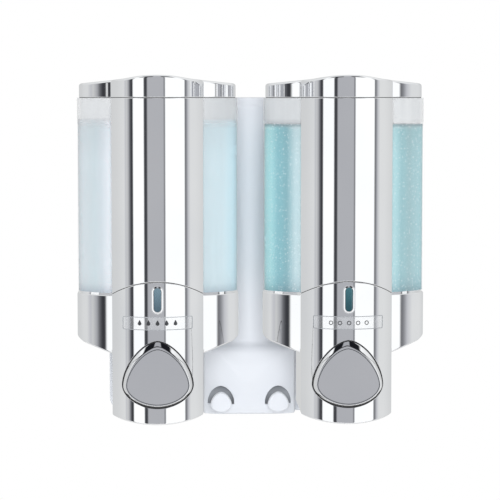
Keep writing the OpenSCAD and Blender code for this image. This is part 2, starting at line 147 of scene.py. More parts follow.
def line(p, q, normal):
    """Dense points on a straight stretch."""
    n = max(2, int(math.dist(p, q) / 0.5))
    t = np.linspace(0, 1, n)[:, None]
    points = np.array(p) * (1 - t) + np.array(q) * t
    return np.hstack([points, np.tile(normal, (n, 1))])


def front_corner(hw, r, front, corner):
    """The y of the bow's centre and of the corner's centre, and the angle where the bow ends."""
    cy = front + r
    fy = cy - math.sqrt((r - corner) ** 2 - (hw - corner) ** 2)
    return cy, fy, math.degrees(math.atan2(fy - cy, hw - corner))


def half_column(hw, r, front, corner, rear):
    """Right half of a bowed column's plan, from the front centre to its rear edge."""
    cy, fy, a = front_corner(hw, r, front, corner)
    return np.vstack([
        arc(0, cy, r, -90, a),
        arc(hw - corner, fy, corner, a, 0),
        line((hw, fy), (hw, rear), (1, 0)),
    ])


def half_body(g=0.0, start=-90):
    """Right half of the chamber's plan, shrunk by g, from an angle on its bow to the rear."""
    cy, fy, a = front_corner(BODY_HW, BODY_R, BODY_FRONT, BODY_CF)
    hw, rear, r = BODY_HW - g, BODY_REAR - g, BODY_CR - g
    return np.vstack([
        arc(0, cy, BODY_R - g, start, a),
        arc(BODY_HW - BODY_CF, fy, BODY_CF - g, a, 0),
        line((hw, fy), (hw, rear - r), (1, 0)),
        arc(hw - r, rear - r, r, 0, 90),
        line((hw - r, rear), (0, rear), (0, 1)),
    ])


def half_union(hw, r, front, corner, inside, g=0.0):
    """Right half of a column and a chamber shrunk by g; a small hollow fillet joins them."""
    cy = front_corner(BODY_HW, BODY_R, BODY_FRONT, BODY_CF)[0]
    hx = hw + inside
    hy = cy - math.sqrt((BODY_R - g + inside) ** 2 - hx ** 2)
    meet = math.degrees(math.atan2(cy - hy, -hx))
    start = math.degrees(math.atan2(hy - cy, hx))
    return np.vstack([
        half_column(hw, r, front, corner, hy),
        arc(hx, hy, inside, 180, meet, inward=True),
        half_body(g, start),
    ])


class Path:
    """A plan outline, mirrored about x = 0 and read by arc length from the front centre."""

    def __init__(self, half, closed=False):
        self.closed = closed
        steps = np.linalg.norm(np.diff(half[:, :2], axis=0), axis=1)
        s = np.concatenate([[0], np.cumsum(steps)])
        keep = np.concatenate([[True], np.diff(s) > 1e-6])
        s, half = s[keep], half[keep]
        left = half[:0:-1] * np.array([-1, 1, -1, 1])
        self.s = np.concatenate([-s[:0:-1], s])
        self.rows = np.vstack([left, half])
        self.end = float(s[-1])

    def at(self, u, d=0.0):
        """Points and unit normals at arc lengths u, d inside the outline."""
        if self.closed:
            u = (np.asarray(u) + self.end) % (2 * self.end) - self.end
        row = np.stack([np.interp(u, self.s, self.rows[:, k]) for k in range(4)], -1)
        n = row[..., 2:] / np.linalg.norm(row[..., 2:], axis=-1, keepdims=True)
        d = np.asarray(d)
        return row[..., :2] - n * (d[..., None] if d.ndim else d), n

    def reach(self, axis, value):
        """Arc length at which the right half first reaches an x (axis 0) or a y (axis 1)."""
        right = self.s >= 0
        hit = np.argmax(self.rows[right, axis] >= value - 1e-9)
        return float(self.s[right][hit])

    def unroll(self, loop):
        """Turns a front view loop's x into arc length."""
        right = (self.s >= 0) & (self.rows[:, 1] < -60)
        u = np.interp(np.abs(loop[:, 0]), self.rows[right, 0], self.s[right])
        return np.column_stack([np.sign(loop[:, 0]) * u, loop[:, 1]])

    def stations(self, *extra):
        """Arc lengths at which meshes have a column, the extra ones and their mirror images in."""
        more = [side * e for e in extra for side in (-1, 1)]
        us = np.unique(np.concatenate([self.bent(0.05, 2.5), more]))
        return us[np.concatenate([[True], np.diff(us) > 1e-5])]

    def bent(self, fine, coarse):
        """Arc lengths along the path: fine steps where it bends and coarse where it is straight."""
        out, last = [self.s[0]], self.rows[0, 2:]
        for s, row in zip(self.s[1:], self.rows[1:]):
            if np.linalg.norm(row[2:] - last) > fine or s - out[-1] > coarse:
                out.append(s)
                last = row[2:]
        if out[-1] < self.s[-1]:
            out.append(self.s[-1])
        return np.array(out)


def whole_column(hw, r, front, corner, rear):
    """A column's plan, closed at the rear with 1 mm corners."""
    return Path(np.vstack([
        half_column(hw, r, front, corner, rear - 1),
        arc(hw - 1, rear - 1, 1, 0, 90),
        line((hw - 1, rear), (0, rear), (0, 1)),
    ]), closed=True)


SUMP_Z = -34.0
SUMP_REAR = -30.0
CORE = (COL_HW - CORE_GAP, COL_R - CORE_GAP, COL_FRONT + CORE_GAP, 3.2)
COLUMN = whole_column(COL_HW, COL_R, COL_FRONT, COL_CORNER, COL_REAR)
COVER = Path(half_column(COL_HW, COL_R, COL_FRONT, COL_CORNER, COVER_HIGH[1]))
BODY = Path(half_body(), closed=True)
CROWN = Path(half_union(COL_HW, COL_R, COL_FRONT, 1.4, 1.0, LID_INSET), closed=True)
SUMP = whole_column(*CORE, SUMP_REAR)
TANK = Path(half_union(*CORE, 1.0), closed=True)


# ---------------------------------------------------------------- mesh building

def unit(v):
    """Unit vectors along the last axis."""
    return v / np.maximum(np.linalg.norm(v, axis=-1, keepdims=True), 1e-12)


class Skin:
    """Collects smooth surface patches with exact normals, and turns them into one object."""

    def __init__(self):
        self.index, self.points, self.normals, self.faces = {}, [], [], []

    def add(self, p, n):
        """Indices of the vertices; equal places with equal normals are one vertex.
        n holds a normal for each point, or for each column, or one for all."""
        p = np.asarray(p)
        n = unit(np.broadcast_to(np.asarray(n, float), p.shape).reshape(-1, 3))
        p = p.reshape(-1, 3)
        places = np.round(p, 3)
        turns = np.round(np.round(n * 8, 3))
        ids = []
        for key, point, normal in zip(map(tuple, np.hstack([places, turns]).tolist()), p, n):
            if key not in self.index:
                self.index[key] = len(self.points)
                self.points.append(point)
                self.normals.append(normal)
            ids.append(self.index[key])
        return np.array(ids)

    def face(self, ids):
        """One face, wound so that it looks the way its normals do."""
        ids = list(dict.fromkeys(int(i) for i in ids))
        if len(ids) < 3:
            return
        p = np.array([self.points[i] for i in ids])
        across = np.cross(p[1] - p[0], p[2] - p[0])
        if len(ids) == 4:
            across = np.cross(p[2] - p[0], p[3] - p[1])
        if np.dot(across, sum(self.normals[i] for i in ids)) < 0:
            ids.reverse()
        self.faces.append(ids)

    def grid(self, p, n, closed=False):
        """Quads over a grid of points; closed joins the last column to the first."""
        rows, cols = np.shape(p)[:2]
        ids = self.add(p, n).reshape(rows, cols)
        for i in range(rows - 1):
            for j in range(cols if closed else cols - 1):
                k = (j + 1) % cols
                self.face((ids[i, j], ids[i, k], ids[i + 1, k], ids[i + 1, j]))

    def triangles(self, p, n, tris):
        """Triangles over scattered points."""
        ids = self.add(p, n)
        for t in tris:
            self.face(ids[list(t)])

    def flush_rear(self, y):
        """Brings whatever lies behind a plane forward onto it."""
        self.points = [np.array([p[0], min(p[1], y), p[2]]) for p in self.points]

    def object(self, name, material, body, replaces=(), slot=None, x=0.0):
        """Makes the Blender object, which rides on a CAD body."""
        mesh = bpy.data.meshes.new(name)
        points = (np.array(self.points) + np.array([x, 0, 0])) * MM
        mesh.from_pydata(points.tolist(), [], self.faces)
        mesh.polygons.foreach_set("use_smooth", [True] * len(mesh.polygons))
        mesh.materials.append(material)
        mesh.normals_split_custom_set_from_vertices(np.array(self.normals).tolist())
        mesh.update()
        return placed(bpy.data.objects.new(name, mesh), body, replaces)


# Endings of the names of the pieces that mirrored rays see.
SEEN_IN_CHROME = ("lid_shell", "button_painted_reflection", "button_painted_shadow")


def placed(obj, body, replaces=()):
    """Links a new piece, and says what it rides on and stands for."""
    bpy.context.scene.collection.objects.link(obj)
    obj.visible_glossy = obj.name.endswith(SEEN_IN_CHROME)
    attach(obj, body)
    if replaces:
        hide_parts(*replaces)
    return obj


def upright(loop, y):
    """A front view loop at a depth, or at a depth for each point."""
    return np.column_stack([loop[:, 0], np.full(len(loop), y), loop[:, 1]])


def turned(loop, clockwise):
    """The loop, wound the way asked."""
    x, y = loop[:, 0], loop[:, 1]
    area = np.sum(x * np.roll(y, -1) - np.roll(x, -1) * y)
    return loop[::-1] if (area < 0) != clockwise else loop


def out_of(loop):
    """Unit directions out of the material for a wound loop, longer at its sharp corners."""
    step = np.roll(loop, -1, 0) - np.roll(loop, 1, 0)
    before, after = unit(loop - np.roll(loop, 1, 0)), unit(np.roll(loop, -1, 0) - loop)
    out = unit(np.stack([step[:, 1], -step[:, 0]], 1))
    side = np.stack([after[:, 1], -after[:, 0]], 1)
    reach = np.maximum(np.sum(out * side, 1, keepdims=True), 0.5)
    return np.where(np.sum(before * after, 1, keepdims=True) < 0.7, out / reach, out)


def inset(loop, by):
    """A wound loop, moved into the material."""
    return loop - out_of(loop) * by


def within(points, loop):
    """Which points lie in a closed loop."""
    a, b = loop, np.roll(loop, -1, 0)
    x, y = points[:, :1], points[:, 1:]
    with np.errstate(divide="ignore", invalid="ignore"):
        cut = (b[:, 0] - a[:, 0]) * (y - a[:, 1]) / (b[:, 1] - a[:, 1]) + a[:, 0]
    hit = ((a[:, 1] > y) != (b[:, 1] > y)) & (x < cut)
    return hit.sum(1) % 2 == 1


def clear_of(points, loop, gap):
    """Which points keep a distance from a loop's corners and edges."""
    a, b = loop, np.roll(loop, -1, 0)
    d = b - a
    keep = np.ones(len(points), bool)
    for p0, dd in zip(a, d):
        rel = points - p0
        t = np.clip(rel @ dd / max(dd @ dd, 1e-12), 0, 1)
        keep &= np.linalg.norm(rel - t[:, None] * dd, axis=1) > gap
    return keep


def filled(loops, step):
    """Triangulates a flat region: the first loop is its edge and the others are holes."""
    def inside(points):
        keep = within(points, loops[0])
        for hole in loops[1:]:
            keep &= ~within(points, hole)
        return keep
    low, high = loops[0].min(0), loops[0].max(0)
    u, v = (np.linspace(low[k], high[k], max(2, int((high[k] - low[k]) / step) + 1)) for k in (0, 1))
    inner = np.stack(np.meshgrid(u, v), -1).reshape(-1, 2)
    inner = inner[inside(inner)]
    for loop in loops:
        inner = inner[clear_of(inner, loop, step * 0.45)]
    edges, start = [], 0
    for loop in loops:
        n = len(loop)
        edges += [(start + i, start + (i + 1) % n) for i in range(n)]
        start += n
    every = np.vstack(loops + [inner])
    made = delaunay_2d_cdt([Vector(p) for p in every], edges, [], 0, 1e-6)
    points = np.array([tuple(p) for p in made[0]])
    tris = np.array([f for f in made[2] if len(f) == 3])
    return points, tris[inside(points[tris].mean(1))]


EPS = 0.02
TINY = 1e-6


def height_of(z, p):
    """A height, or a height function's values, at plan points."""
    return z(p) if callable(z) else np.full(len(p), float(z))


def levels(low, high, n):
    """n + 1 heights from low to high."""
    return [lambda p, k=k: height_of(low, p) * (1 - k) + height_of(high, p) * k
            for k in np.linspace(0, 1, n + 1)]


def wound(loops):
    """An edge loop and the holes in it, each wound its own way."""
    return [turned(loop, i > 0) for i, loop in enumerate(loops)]


def sheet(skin, surf, loops, du, d=0.0, flip=False):
    """A patch of a surface; surf(uv, d) gives points and normals d inside it."""
    uv, tris = filled(loops, du)
    p, n = surf(uv, d)
    skin.triangles(p, -n if flip else n, tris)


def plane(skin, loops, du, place, normal):
    """A flat face over front view loops; place(uv) puts its points in space."""
    uv, tris = filled(loops, du)
    skin.triangles(place(uv), normal, tris)


def rim(skin, surf, loop, r, far, steps=5):
    """A rounded edge round a loop, then a wall down to far, a place for each point or a depth."""
    out = out_of(loop)
    points, normals = [], []
    for a in np.linspace(0, math.pi / 2, steps + 1):
        depth = r * (1 - math.cos(a))
        uv = loop - out * r * (1 - math.sin(a))
        p, n = surf(uv, depth)
        q, _ = surf(uv + unit(out) * EPS, depth)
        points.append(p)
        normals.append(unit(n * math.cos(a) + unit(q - p) * math.sin(a)))
    if not isinstance(far, np.ndarray):
        far, _ = surf(loop, far)
    skin.grid([*points, far], [*normals, normals[-1]], closed=True)


def shell(skin, surf, loops, t, r, du):
    """A moulded wall of thickness t with rounded outer edges."""
    loops = wound(loops)
    sheet(skin, surf, [inset(loop, r) for loop in loops], du)
    for loop in loops:
        rim(skin, surf, loop, r, t)
    sheet(skin, surf, loops, du * 1.5, t, flip=True)


def sweep(skin, path, us, *profiles, closed=True, slope=None):
    """Sweeps profiles round a plan outline. Each profile has rows (depth, height, out, up)."""
    for rows in profiles:
        points, normals = [], []
        for d, z, out, up in rows:
            p, n = path.at(us, d)
            points.append(np.column_stack([p, height_of(z, p)]))
            normals.append(np.column_stack([n * out, np.full(len(us), float(up))]))
            if slope:
                normals[-1][:, 0] -= slope(p[:, 0]) * up
        skin.grid(points, normals, closed=closed)


def raised(z, by):
    """A height, or a height function, moved up."""
    return (lambda p: z(p) + by) if callable(z) else z + by


def wall_rows(d, heights, out=1):
    """Rows of an upright wall."""
    return [(d, z, out, 0) for z in heights]


def edge_rows(near, far, z, up):
    """Rows of a level strip between two depths."""
    return [(near, z, 0, up), (far, z, 0, up)]


def corner_rows(d, z, r, a0, a1, steps=5):
    """Rows round a profile corner: (d, z) is its centre, angles run from outward to up."""
    turns = np.radians(np.linspace(a0, a1, steps + 1))
    return [(d - r * math.cos(a), raised(z, r * math.sin(a)), math.cos(a), math.sin(a)) for a in turns]


def ring(path, d, us):
    """A plan loop d inside an outline."""
    return path.at(us, d)[0]


def cap(skin, loops, z, up, du, slope=None):
    """A level or sloping face over plan loops."""
    uv, tris = filled(wound(loops), du)
    tilt = slope(uv[:, 0]) if slope else np.zeros(len(uv))
    n = np.column_stack([-tilt * up, np.zeros(len(uv)), np.full(len(uv), float(up))])
    skin.triangles(np.column_stack([uv, height_of(z, uv)]), n, tris)


def panel(skin, path, us, low, high, t, r, rows, closed=False):
    """A standing wall of thickness t over a plan outline, its top and bottom edges rounded."""
    inner_low, inner_high = raised(low, r), raised(high, -r)
    heights = levels(inner_low, inner_high, rows)
    sweep(skin, path, us, wall_rows(0, heights), wall_rows(t, (low, *heights, high), -1),
          corner_rows(r, inner_high, r, 0, 90), corner_rows(r, inner_low, r, 0, -90),
          edge_rows(r, t, high, 1), edge_rows(r, t, low, -1), closed=closed)


def gradient(f, x, h=0.01):
    """Slope of a height curve."""
    return (f(x + h) - f(x - h)) / (2 * h)


def wall_of(path):
    """The upright surface over a plan outline, as surf(uv, d)."""
    def surf(uv, d):
        p, n = path.at(uv[:, 0], d)
        return np.column_stack([p, uv[:, 1]]), np.column_stack([n, np.zeros(len(uv))])
    return surf


def facing(depth):
    """The surface y = -depth(x, z), as surf(uv, d)."""
    def surf(uv, d):
        x, z = uv[:, 0], uv[:, 1]
        gx = (depth(x + EPS, z) - depth(x - EPS, z)) / (2 * EPS)
        gz = (depth(x, z + EPS) - depth(x, z - EPS)) / (2 * EPS)
        n = unit(np.column_stack([-gx, -np.ones(len(x)), -gz]))
        return upright(uv, -depth(x, z) + d), n
    return surf


def flat(y):
    """The upright plane at y, as surf(uv, d)."""
    return facing(lambda x, z: np.full(len(x), -y))


def chain(*runs):
    """Joins runs of points into one loop without repeated points."""
    loop = np.vstack(runs)
    step = np.linalg.norm(loop - np.roll(loop, 1, 0), axis=1)
    return loop[step > 1e-4]


def run(p, q, step):
    """Points from p to q, q left out."""
    n = max(1, int(math.dist(p, q) / step))
    t = np.arange(n)[:, None] / n
    return np.array(p) * (1 - t) + np.array(q) * t


def rounded_loop(x0, z0, x1, z1, r, step=1.0):
    """A rectangle with round corners."""
    n = max(4, int(r * 1.6 / step) + 3)
    centres = ((x1 - r, z0 + r), (x1 - r, z1 - r), (x0 + r, z1 - r), (x0 + r, z0 + r))
    bends = [polar(cx, cz, r, np.radians(np.linspace(a0, a0 + 90, n)))
             for (cx, cz), a0 in zip(centres, (-90, 0, 90, 180))]
    runs = []
    for bend, after in zip(bends, bends[1:] + bends[:1]):
        runs += [bend[:-1], run(bend[-1], after[0], step)]
    return chain(*runs)


def circle(cx, cz, r, n=32):
    """A round loop."""
    return polar(cx, cz, r, np.linspace(0, 2 * math.pi, n, endpoint=False))


def oval(cz, w, h):
    """An upright slot with round ends, on the middle line."""
    r, s = w / 2, h / 2 - w / 2
    a = np.linspace(0, math.pi, 14)
    top, low = polar(0, cz + s, r, a), polar(0, cz - s, -r, a)
    return chain(top[:-1], run(top[-1], low[0], 1.0), low[:-1], run(low[-1], top[0], 1.0))


def bowed(hw, z0, up, down, powers, steps, n):
    """A loop widest at z0, with an arched top and a round foot, each a superellipse of its power."""
    t = np.linspace(0, math.pi / 2, steps)
    c, s = np.cos(t), np.sin(t)
    top, low = (np.column_stack([hw * c ** (2 / power), z0 + rise * s ** (2 / power)])
                for power, rise in zip(powers, (up, -down)))
    return even(chain(top[:-1], top[::-1][:-1] * [-1, 1], low[:-1] * [-1, 1], low[::-1][:-1]), n)


def pick(hw, up, down, z0):
    """The button's outline, like a guitar pick that points up."""
    return bowed(hw, z0, up, down, (1.65, 1.9), 28, 150)


def even(loop, n):
    """The loop with n evenly spaced points."""
    closed = np.vstack([loop, loop[:1]])
    s = np.concatenate([[0], np.cumsum(np.linalg.norm(np.diff(closed, axis=0), axis=1))])
    at = np.linspace(0, s[-1], n, endpoint=False)
    return np.column_stack([np.interp(at, s, closed[:, k]) for k in (0, 1)])


def loft(skin, loops, last=None):
    """Quads through a stack of closed 3-D loops, with normals from the grid itself."""
    p = np.array(loops)
    along = np.gradient(p, axis=0)
    across = (np.roll(p, -1, 1) - np.roll(p, 1, 1)) / 2
    n = unit(np.cross(across, along))
    out = p - p.mean(1, keepdims=True)
    if np.sum(n * out) < 0:
        n = -n
    if last is not None:
        n[-1] = last
    skin.grid(p, n, closed=True)


# ---------------------------------------------------------------- materials

def shader(name, rough, relief=None, **values):
    """A new material whose Principled sockets get these values. Its roughness follows a noise
    between two values, and relief gives a noise, a strength and a distance for fine bumps."""
    mat = bpy.data.materials.new(name)
    mat.use_nodes = True
    tree = mat.node_tree
    bsdf = tree.nodes["Principled BSDF"]
    for key, value in values.items():
        bsdf.inputs[key.replace("_", " ")].default_value = value
    pattern, low, high = rough
    spread(tree, noise(tree, *pattern), low, high, bsdf.inputs["Roughness"])
    if relief:
        pattern, strength, distance = relief
        bump = {"Strength": strength, "Distance": distance, "Height": noise(tree, *pattern)}
        tree.links.new(node(tree, "Bump", "Normal", bump), bsdf.inputs["Normal"])
    return mat, tree, bsdf


def node(tree, kind, out, inputs, **settings):
    """A new shader node; inputs are values or other nodes' outputs. Gives one of its outputs."""
    new = tree.nodes.new("ShaderNode" + kind)
    for key, value in settings.items():
        setattr(new, key, value)
    for key, value in inputs.items():
        if isinstance(value, bpy.types.NodeSocket):
            tree.links.new(value, new.inputs[key])
        else:
            new.inputs[key].default_value = value
    return new.outputs[out]


def noise(tree, scale, detail=4.0, stretch=None):
    """Noise in object coordinates, in cells per metre; stretch squeezes it along the axes."""
    place = node(tree, "TexCoord", "Object", {})
    if stretch:
        place = node(tree, "Mapping", "Vector", {"Vector": place, "Scale": stretch})
    return node(tree, "TexNoise", "Fac", {"Vector": place, "Scale": scale, "Detail": detail})


def scaled(tree, source, start, end, low=0.0, high=1.0):
    """Maps start to end onto low to high."""
    inputs = {"Value": source, "From Min": start, "From Max": end, "To Min": low, "To Max": high}
    return node(tree, "MapRange", "Result", inputs)


def spread(tree, source, low, high, target=None):
    """Maps a texture's middle range onto low to high, and links it to a socket."""
    result = scaled(tree, source, 0.3, 0.7, low, high)
    if target:
        tree.links.new(result, target)
    return result


def ramp(tree, source, marks, target=None):
    """A colour ramp over a texture; marks are (place, colour)."""
    colour = node(tree, "ValToRGB", "Color", {"Fac": source})
    bar = colour.node.color_ramp
    for k, (place, tone) in enumerate(marks):
        stop = bar.elements[k] if k < 2 else bar.elements.new(place)
        stop.position = place
        stop.color = (*tone, 1)
    if target:
        tree.links.new(colour, target)
    return colour


def clouded(tree, bsdf, pattern, low, high):
    """Gives the base colour two tones over a noise's middle range."""
    ramp(tree, noise(tree, *pattern), [(0.3, low), (0.7, high)], bsdf.inputs["Base Color"])


def between(tree, low, high, axis="Z", most=1.0):
    """0 at one height and most at another, or along another axis, in metres."""
    place = node(tree, "SeparateXYZ", axis, {"Vector": node(tree, "TexCoord", "Object", {})})
    return scaled(tree, place, low, high, 0.0, most)


def rgb(r, g, b):
    """A display colour, 0 to 255, as linear light."""
    return tuple(((c / 255 + 0.055) / 1.055) ** 2.4 for c in (r, g, b))


def chrome():
    """Bright plating over moulded plastic: a mirror with faint ripples and wipe marks."""
    wipes, ripples = ((700, 6, (1, 1, 0.15)), 0.018, 0.05), ((30, 1), 0.02, 0.0004)
    mat, tree, bsdf = shader("chromed_plastic", wipes, ripples, Metallic=1.0)
    clouded(tree, bsdf, (22, 2), (0.90, 0.91, 0.93), (0.95, 0.955, 0.965))
    return mat


GRAIN_DEPTH = 0.00005


def plastic(name, low, high, rough, grain=900, relief=0.08):
    """Moulded plastic with a slight cloudiness and a fine moulded grain."""
    worn = ((180, 5), rough * 0.94, rough * 1.06)
    mat, tree, bsdf = shader(name, worn, ((grain, 3), relief, GRAIN_DEPTH))
    clouded(tree, bsdf, (14,), rgb(*low), rgb(*high))
    return mat


FILM_START = 0.079
FILM_FULL = 0.085
FILM_ALPHA = 0.36


def clear_wall():
    """Clear moulded plastic with upright flow lines, and a film of soap above the level."""
    mat, tree, bsdf = shader("clear_plastic", ((250, 4), 0.03, 0.09), IOR=1.46)
    clouded(tree, bsdf, (18, 2, (4, 4, 0.3)), rgb(226, 229, 232), rgb(238, 240, 242))
    film = between(tree, FILM_START, FILM_FULL, most=FILM_ALPHA)
    flow = spread(tree, noise(tree, 40, 2, (4, 4, 0.2)), 0.08, 0.13)
    both = node(tree, "Math", 0, {0: film, 1: flow}, operation="ADD")
    tree.links.new(both, bsdf.inputs["Alpha"])
    return mat


def label_plastic():
    """Clear label plate over the plating, faintly frosted."""
    mat, tree, bsdf = shader("label_plastic", ((300,), 0.05, 0.12), IOR=1.49)
    clouded(tree, bsdf, (60, 3), rgb(214, 217, 220), rgb(232, 235, 238))
    spread(tree, noise(tree, 200, 4), 0.09, 0.14, bsdf.inputs["Alpha"])
    return mat


# Painted shade in the hook recesses, from the foot of the arch to its top.
RECESS_PAINTED_SHADE = ((0.0, 128, 132, 138), (0.5, 158, 162, 168), (0.8, 128, 132, 138), (1.0, 78, 82, 88))


def recess_painted_shade():
    """Painted shade in the hook recesses: the plate's plastic coloured grey, darkest under the top of the
    arch, where it lies in shadow.
    """
    mat, tree, bsdf = shader("recess_painted_shade", ((180, 5), 0.4, 0.6), ((900, 3), 0.08, GRAIN_DEPTH))
    ramp(tree, between(tree, -0.09, -0.077), stops(RECESS_PAINTED_SHADE), bsdf.inputs["Base Color"])
    return mat


BUBBLE_CELLS = 520
BUBBLE_TONE = (*rgb(236, 246, 248), 1)


def soap(side, across, tones, top, bubbles):
    """Liquid soap: its tint, with painted shade and highlight across the chamber's curve and painted shade
    at its foot and at its surface, and bubbles gather in it.
    """
    mat, tree, bsdf = shader(f"{side}_soap", ((60,), 0.12, 0.3), IOR=1.36, Subsurface_Weight=0.3,
                             Subsurface_Radius=(0.02, 0.03, 0.03))
    middle, half = UNIT_X[side] * MM, BODY_HW * MM
    # Painted shade by height, multiplied into the tint with its painted shade and highlight across the
    # chamber.
    shade = ramp(tree, between(tree, SOAP_FLOOR * MM, top), stops(tones))
    tint_and_shade = ramp(tree, between(tree, middle - half, middle + half, "X"), stops(across, BODY_HW))
    shaded_soap = mixed(tree, 1.0, tint_and_shade, shade, "MULTIPLY")
    place = node(tree, "TexCoord", "Object", {})
    cells = node(tree, "TexVoronoi", "Distance", {"Vector": place, "Scale": BUBBLE_CELLS})
    dots = scaled(tree, cells, 0.3, 0.12, 0.0, bubbles)
    tree.links.new(mixed(tree, dots, shaded_soap, BUBBLE_TONE), bsdf.inputs["Base Color"])
    return mat


def stops(rows, half=None):
    """Ramp stops from rows of place, red, green and blue; with half, places run from -half to half."""
    return [((x + half) / (2 * half) if half else x, rgb(*tone)) for x, *tone in rows]


def mixed(tree, factor, a, b, how="MIX"):
    """Two colours mixed; each is a colour or an output."""
    return node(tree, "Mix", "Result", {"Factor": factor, "A": a, "B": b}, data_type="RGBA", blend_type=how)


def glass(side, low, high):
    """Tinted window over the soap behind it, lighter towards its top: a painted highlight."""
    mat, tree, bsdf = shader(f"{side}_lens_tint_and_highlight", ((300,), 0.03, 0.08), IOR=1.49)
    ramp(tree, between(tree, LENS_LOW[2] * MM, LENS_HIGH[2] * MM), stops([(0.0, *low), (1.0, *high)]),
         bsdf.inputs["Base Color"])
    return mat


SOAP_FLOOR = BODY_FOOT + 1.3
# Soap colours: the rows by height are painted shade, darker at the soap's foot and at its surface; the rows
# across the chamber hold its tint with painted shade and highlight over the curve.
LEFT_HEIGHT_SHADE = ((0.0, 213, 215, 220), (0.05, 250, 250, 250), (0.12, 255, 255, 255), (0.75, 255, 255, 255),
              (0.96, 244, 244, 244), (1.0, 242, 237, 237))
RIGHT_HEIGHT_SHADE = ((0.0, 200, 208, 213), (0.05, 242, 243, 245), (0.12, 255, 255, 255), (0.8, 255, 255, 255),
               (0.965, 245, 246, 246), (0.985, 252, 246, 246), (1.0, 155, 170, 175))
LEFT_TINT_AND_SHADE = ((-46, 204, 213, 219), (-37, 196, 210, 216), (-33, 202, 212, 219), (-29, 218, 225, 232),
               (29, 194, 212, 219), (39, 206, 224, 231), (45, 202, 228, 238))
RIGHT_TINT_AND_SHADE = ((-47, 178, 228, 232), (-44, 165, 216, 220), (-40, 125, 184, 194), (-35, 120, 172, 182),
                (-30, 184, 210, 216), (29, 168, 208, 214), (33, 145, 188, 195), (38, 148, 184, 190),
                (46, 162, 204, 211))
MATS = {
    "chrome": chrome(),
    "white": plastic("white_plastic", (226, 230, 237), (230, 234, 240), 0.3),
    "inner": plastic("white_plastic_inner", (214, 217, 220), (228, 230, 232), 0.4),
    "clear": clear_wall(),
    "label": label_plastic(),
    "rim": plastic("label_edge", (138, 142, 147), (166, 170, 175), 0.2),
    # Painted dark reflection for the line inside the button face's edge.
    "painted_reflection": plastic("painted_dark_reflection", (62, 64, 68), (84, 87, 92), 0.4),
    # Painted shade for the hook recesses.
    "recess": recess_painted_shade(),
    # For the neck seal, and as black painted shade in seam gaps, round the button and in its well.
    "rubber": plastic("black_rubber", (22, 22, 24), (36, 36, 38), 0.6, 1500, 0.3),
    "silicone": plastic("silicone", (196, 199, 200), (216, 218, 219), 0.5, 1200, 0.15),
    "tape": plastic("tape", (70, 72, 76), (92, 94, 98), 0.85, 2500, 0.6),
    "steel": chrome(),
    "ink": plastic("print_ink", (40, 42, 45), (58, 60, 64), 0.45),
    "left_soap": soap("left", LEFT_TINT_AND_SHADE, LEFT_HEIGHT_SHADE, 0.0842, 0.1),
    "right_soap": soap("right", RIGHT_TINT_AND_SHADE, RIGHT_HEIGHT_SHADE, 0.0812, 0.4),
    "left_lens": glass("left", (68, 88, 101), (104, 128, 141)),
    "right_lens": glass("right", (26, 64, 74), (56, 100, 109)),
}


# ---------------------------------------------------------------- pieces of one unit

def unit_piece(skin, side, name, material, slot="chromed_plastic", stands_for=None, body="unit"):
    """Makes one piece of a unit from its skin, on its side of the plate."""
    replaces = [f"{side}_{stands_for}"] if stands_for else ()
    return skin.object(f"{side}_{name}", MATS[material], f"{side}_{body}", replaces, slot, UNIT_X[side])


LID_Z = RIM_Z + 0.2
LID_EDGE = 8.2
LID_CROWN = 0.8
LID_FAR = 46.0
LID_SHOULDER = 1.5
LID_LIP = 0.45
CROWN_HW = 22.0
CROWN_FADE = 14.0
LID_TOP = LID_HIGH[2] - LID_Z


def soft(x):
    """Distance that grows like x far out and levels off within 8 mm of the middle."""
    return np.sqrt(x * x + 8 ** 2)


def smooth(k):
    """Eases a value from 0 to 1."""
    k = np.clip(k, 0, 1)
    return k * k * (3 - 2 * k)


def lid_top(x):
    """Height of the lid's upper face."""
    slope = (LID_TOP - LID_CROWN - LID_EDGE) / (soft(LID_FAR) - soft(0))
    crown = LID_CROWN * smooth((CROWN_HW - np.abs(x)) / CROWN_FADE)
    return LID_Z + LID_EDGE + slope * (soft(LID_FAR) - soft(x)) + crown


def lid(side):
    """The bell shaped lid: upright skirt, rounded shoulder and crowned top."""
    skin = Skin()
    us = CROWN.stations()[:-1]
    r, lip = LID_SHOULDER, LID_LIP
    def shoulder(p):
        return lid_top(p[:, 0]) - r
    def slope(x):
        return gradient(lid_top, x)
    sweep(skin, CROWN, us, corner_rows(r, shoulder, r, 0, 90, 9), slope=slope)
    sweep(skin, CROWN, us, wall_rows(0, levels(LID_Z + lip, shoulder, 4)),
          wall_rows(WALL, (LID_Z, raised(shoulder, -0.5)), -1),
          corner_rows(lip, LID_Z + lip, lip, 0, -90, 4), edge_rows(lip, WALL, LID_Z, -1))
    cap(skin, [ring(CROWN, r, us)], lambda uv: lid_top(uv[:, 0]), 1, 1.6, slope)
    cap(skin, [ring(CROWN, WALL, us)], lambda uv: lid_top(uv[:, 0]) - WALL, -1, 2.5, slope)
    unit_piece(skin, side, "lid_shell", "chrome", stands_for="lid", body="cap")


KNUCKLE_HW = 11.8
KNUCKLE_R = 3.0


def lid_knuckle(side):
    """The hinge barrel under the lid's rear edge."""
    hinge = (PIN_LOW + PIN_HIGH) / 2
    start = (UNIT_X[side] - KNUCKLE_HW, hinge[1], hinge[2])
    barrel = bar(f"{side}_lid_knuckle", start, 2 * KNUCKLE_HW, KNUCKLE_R)
    barrel.data.materials.append(MATS["chrome"])
    placed(barrel, f"{side}_cap", ())


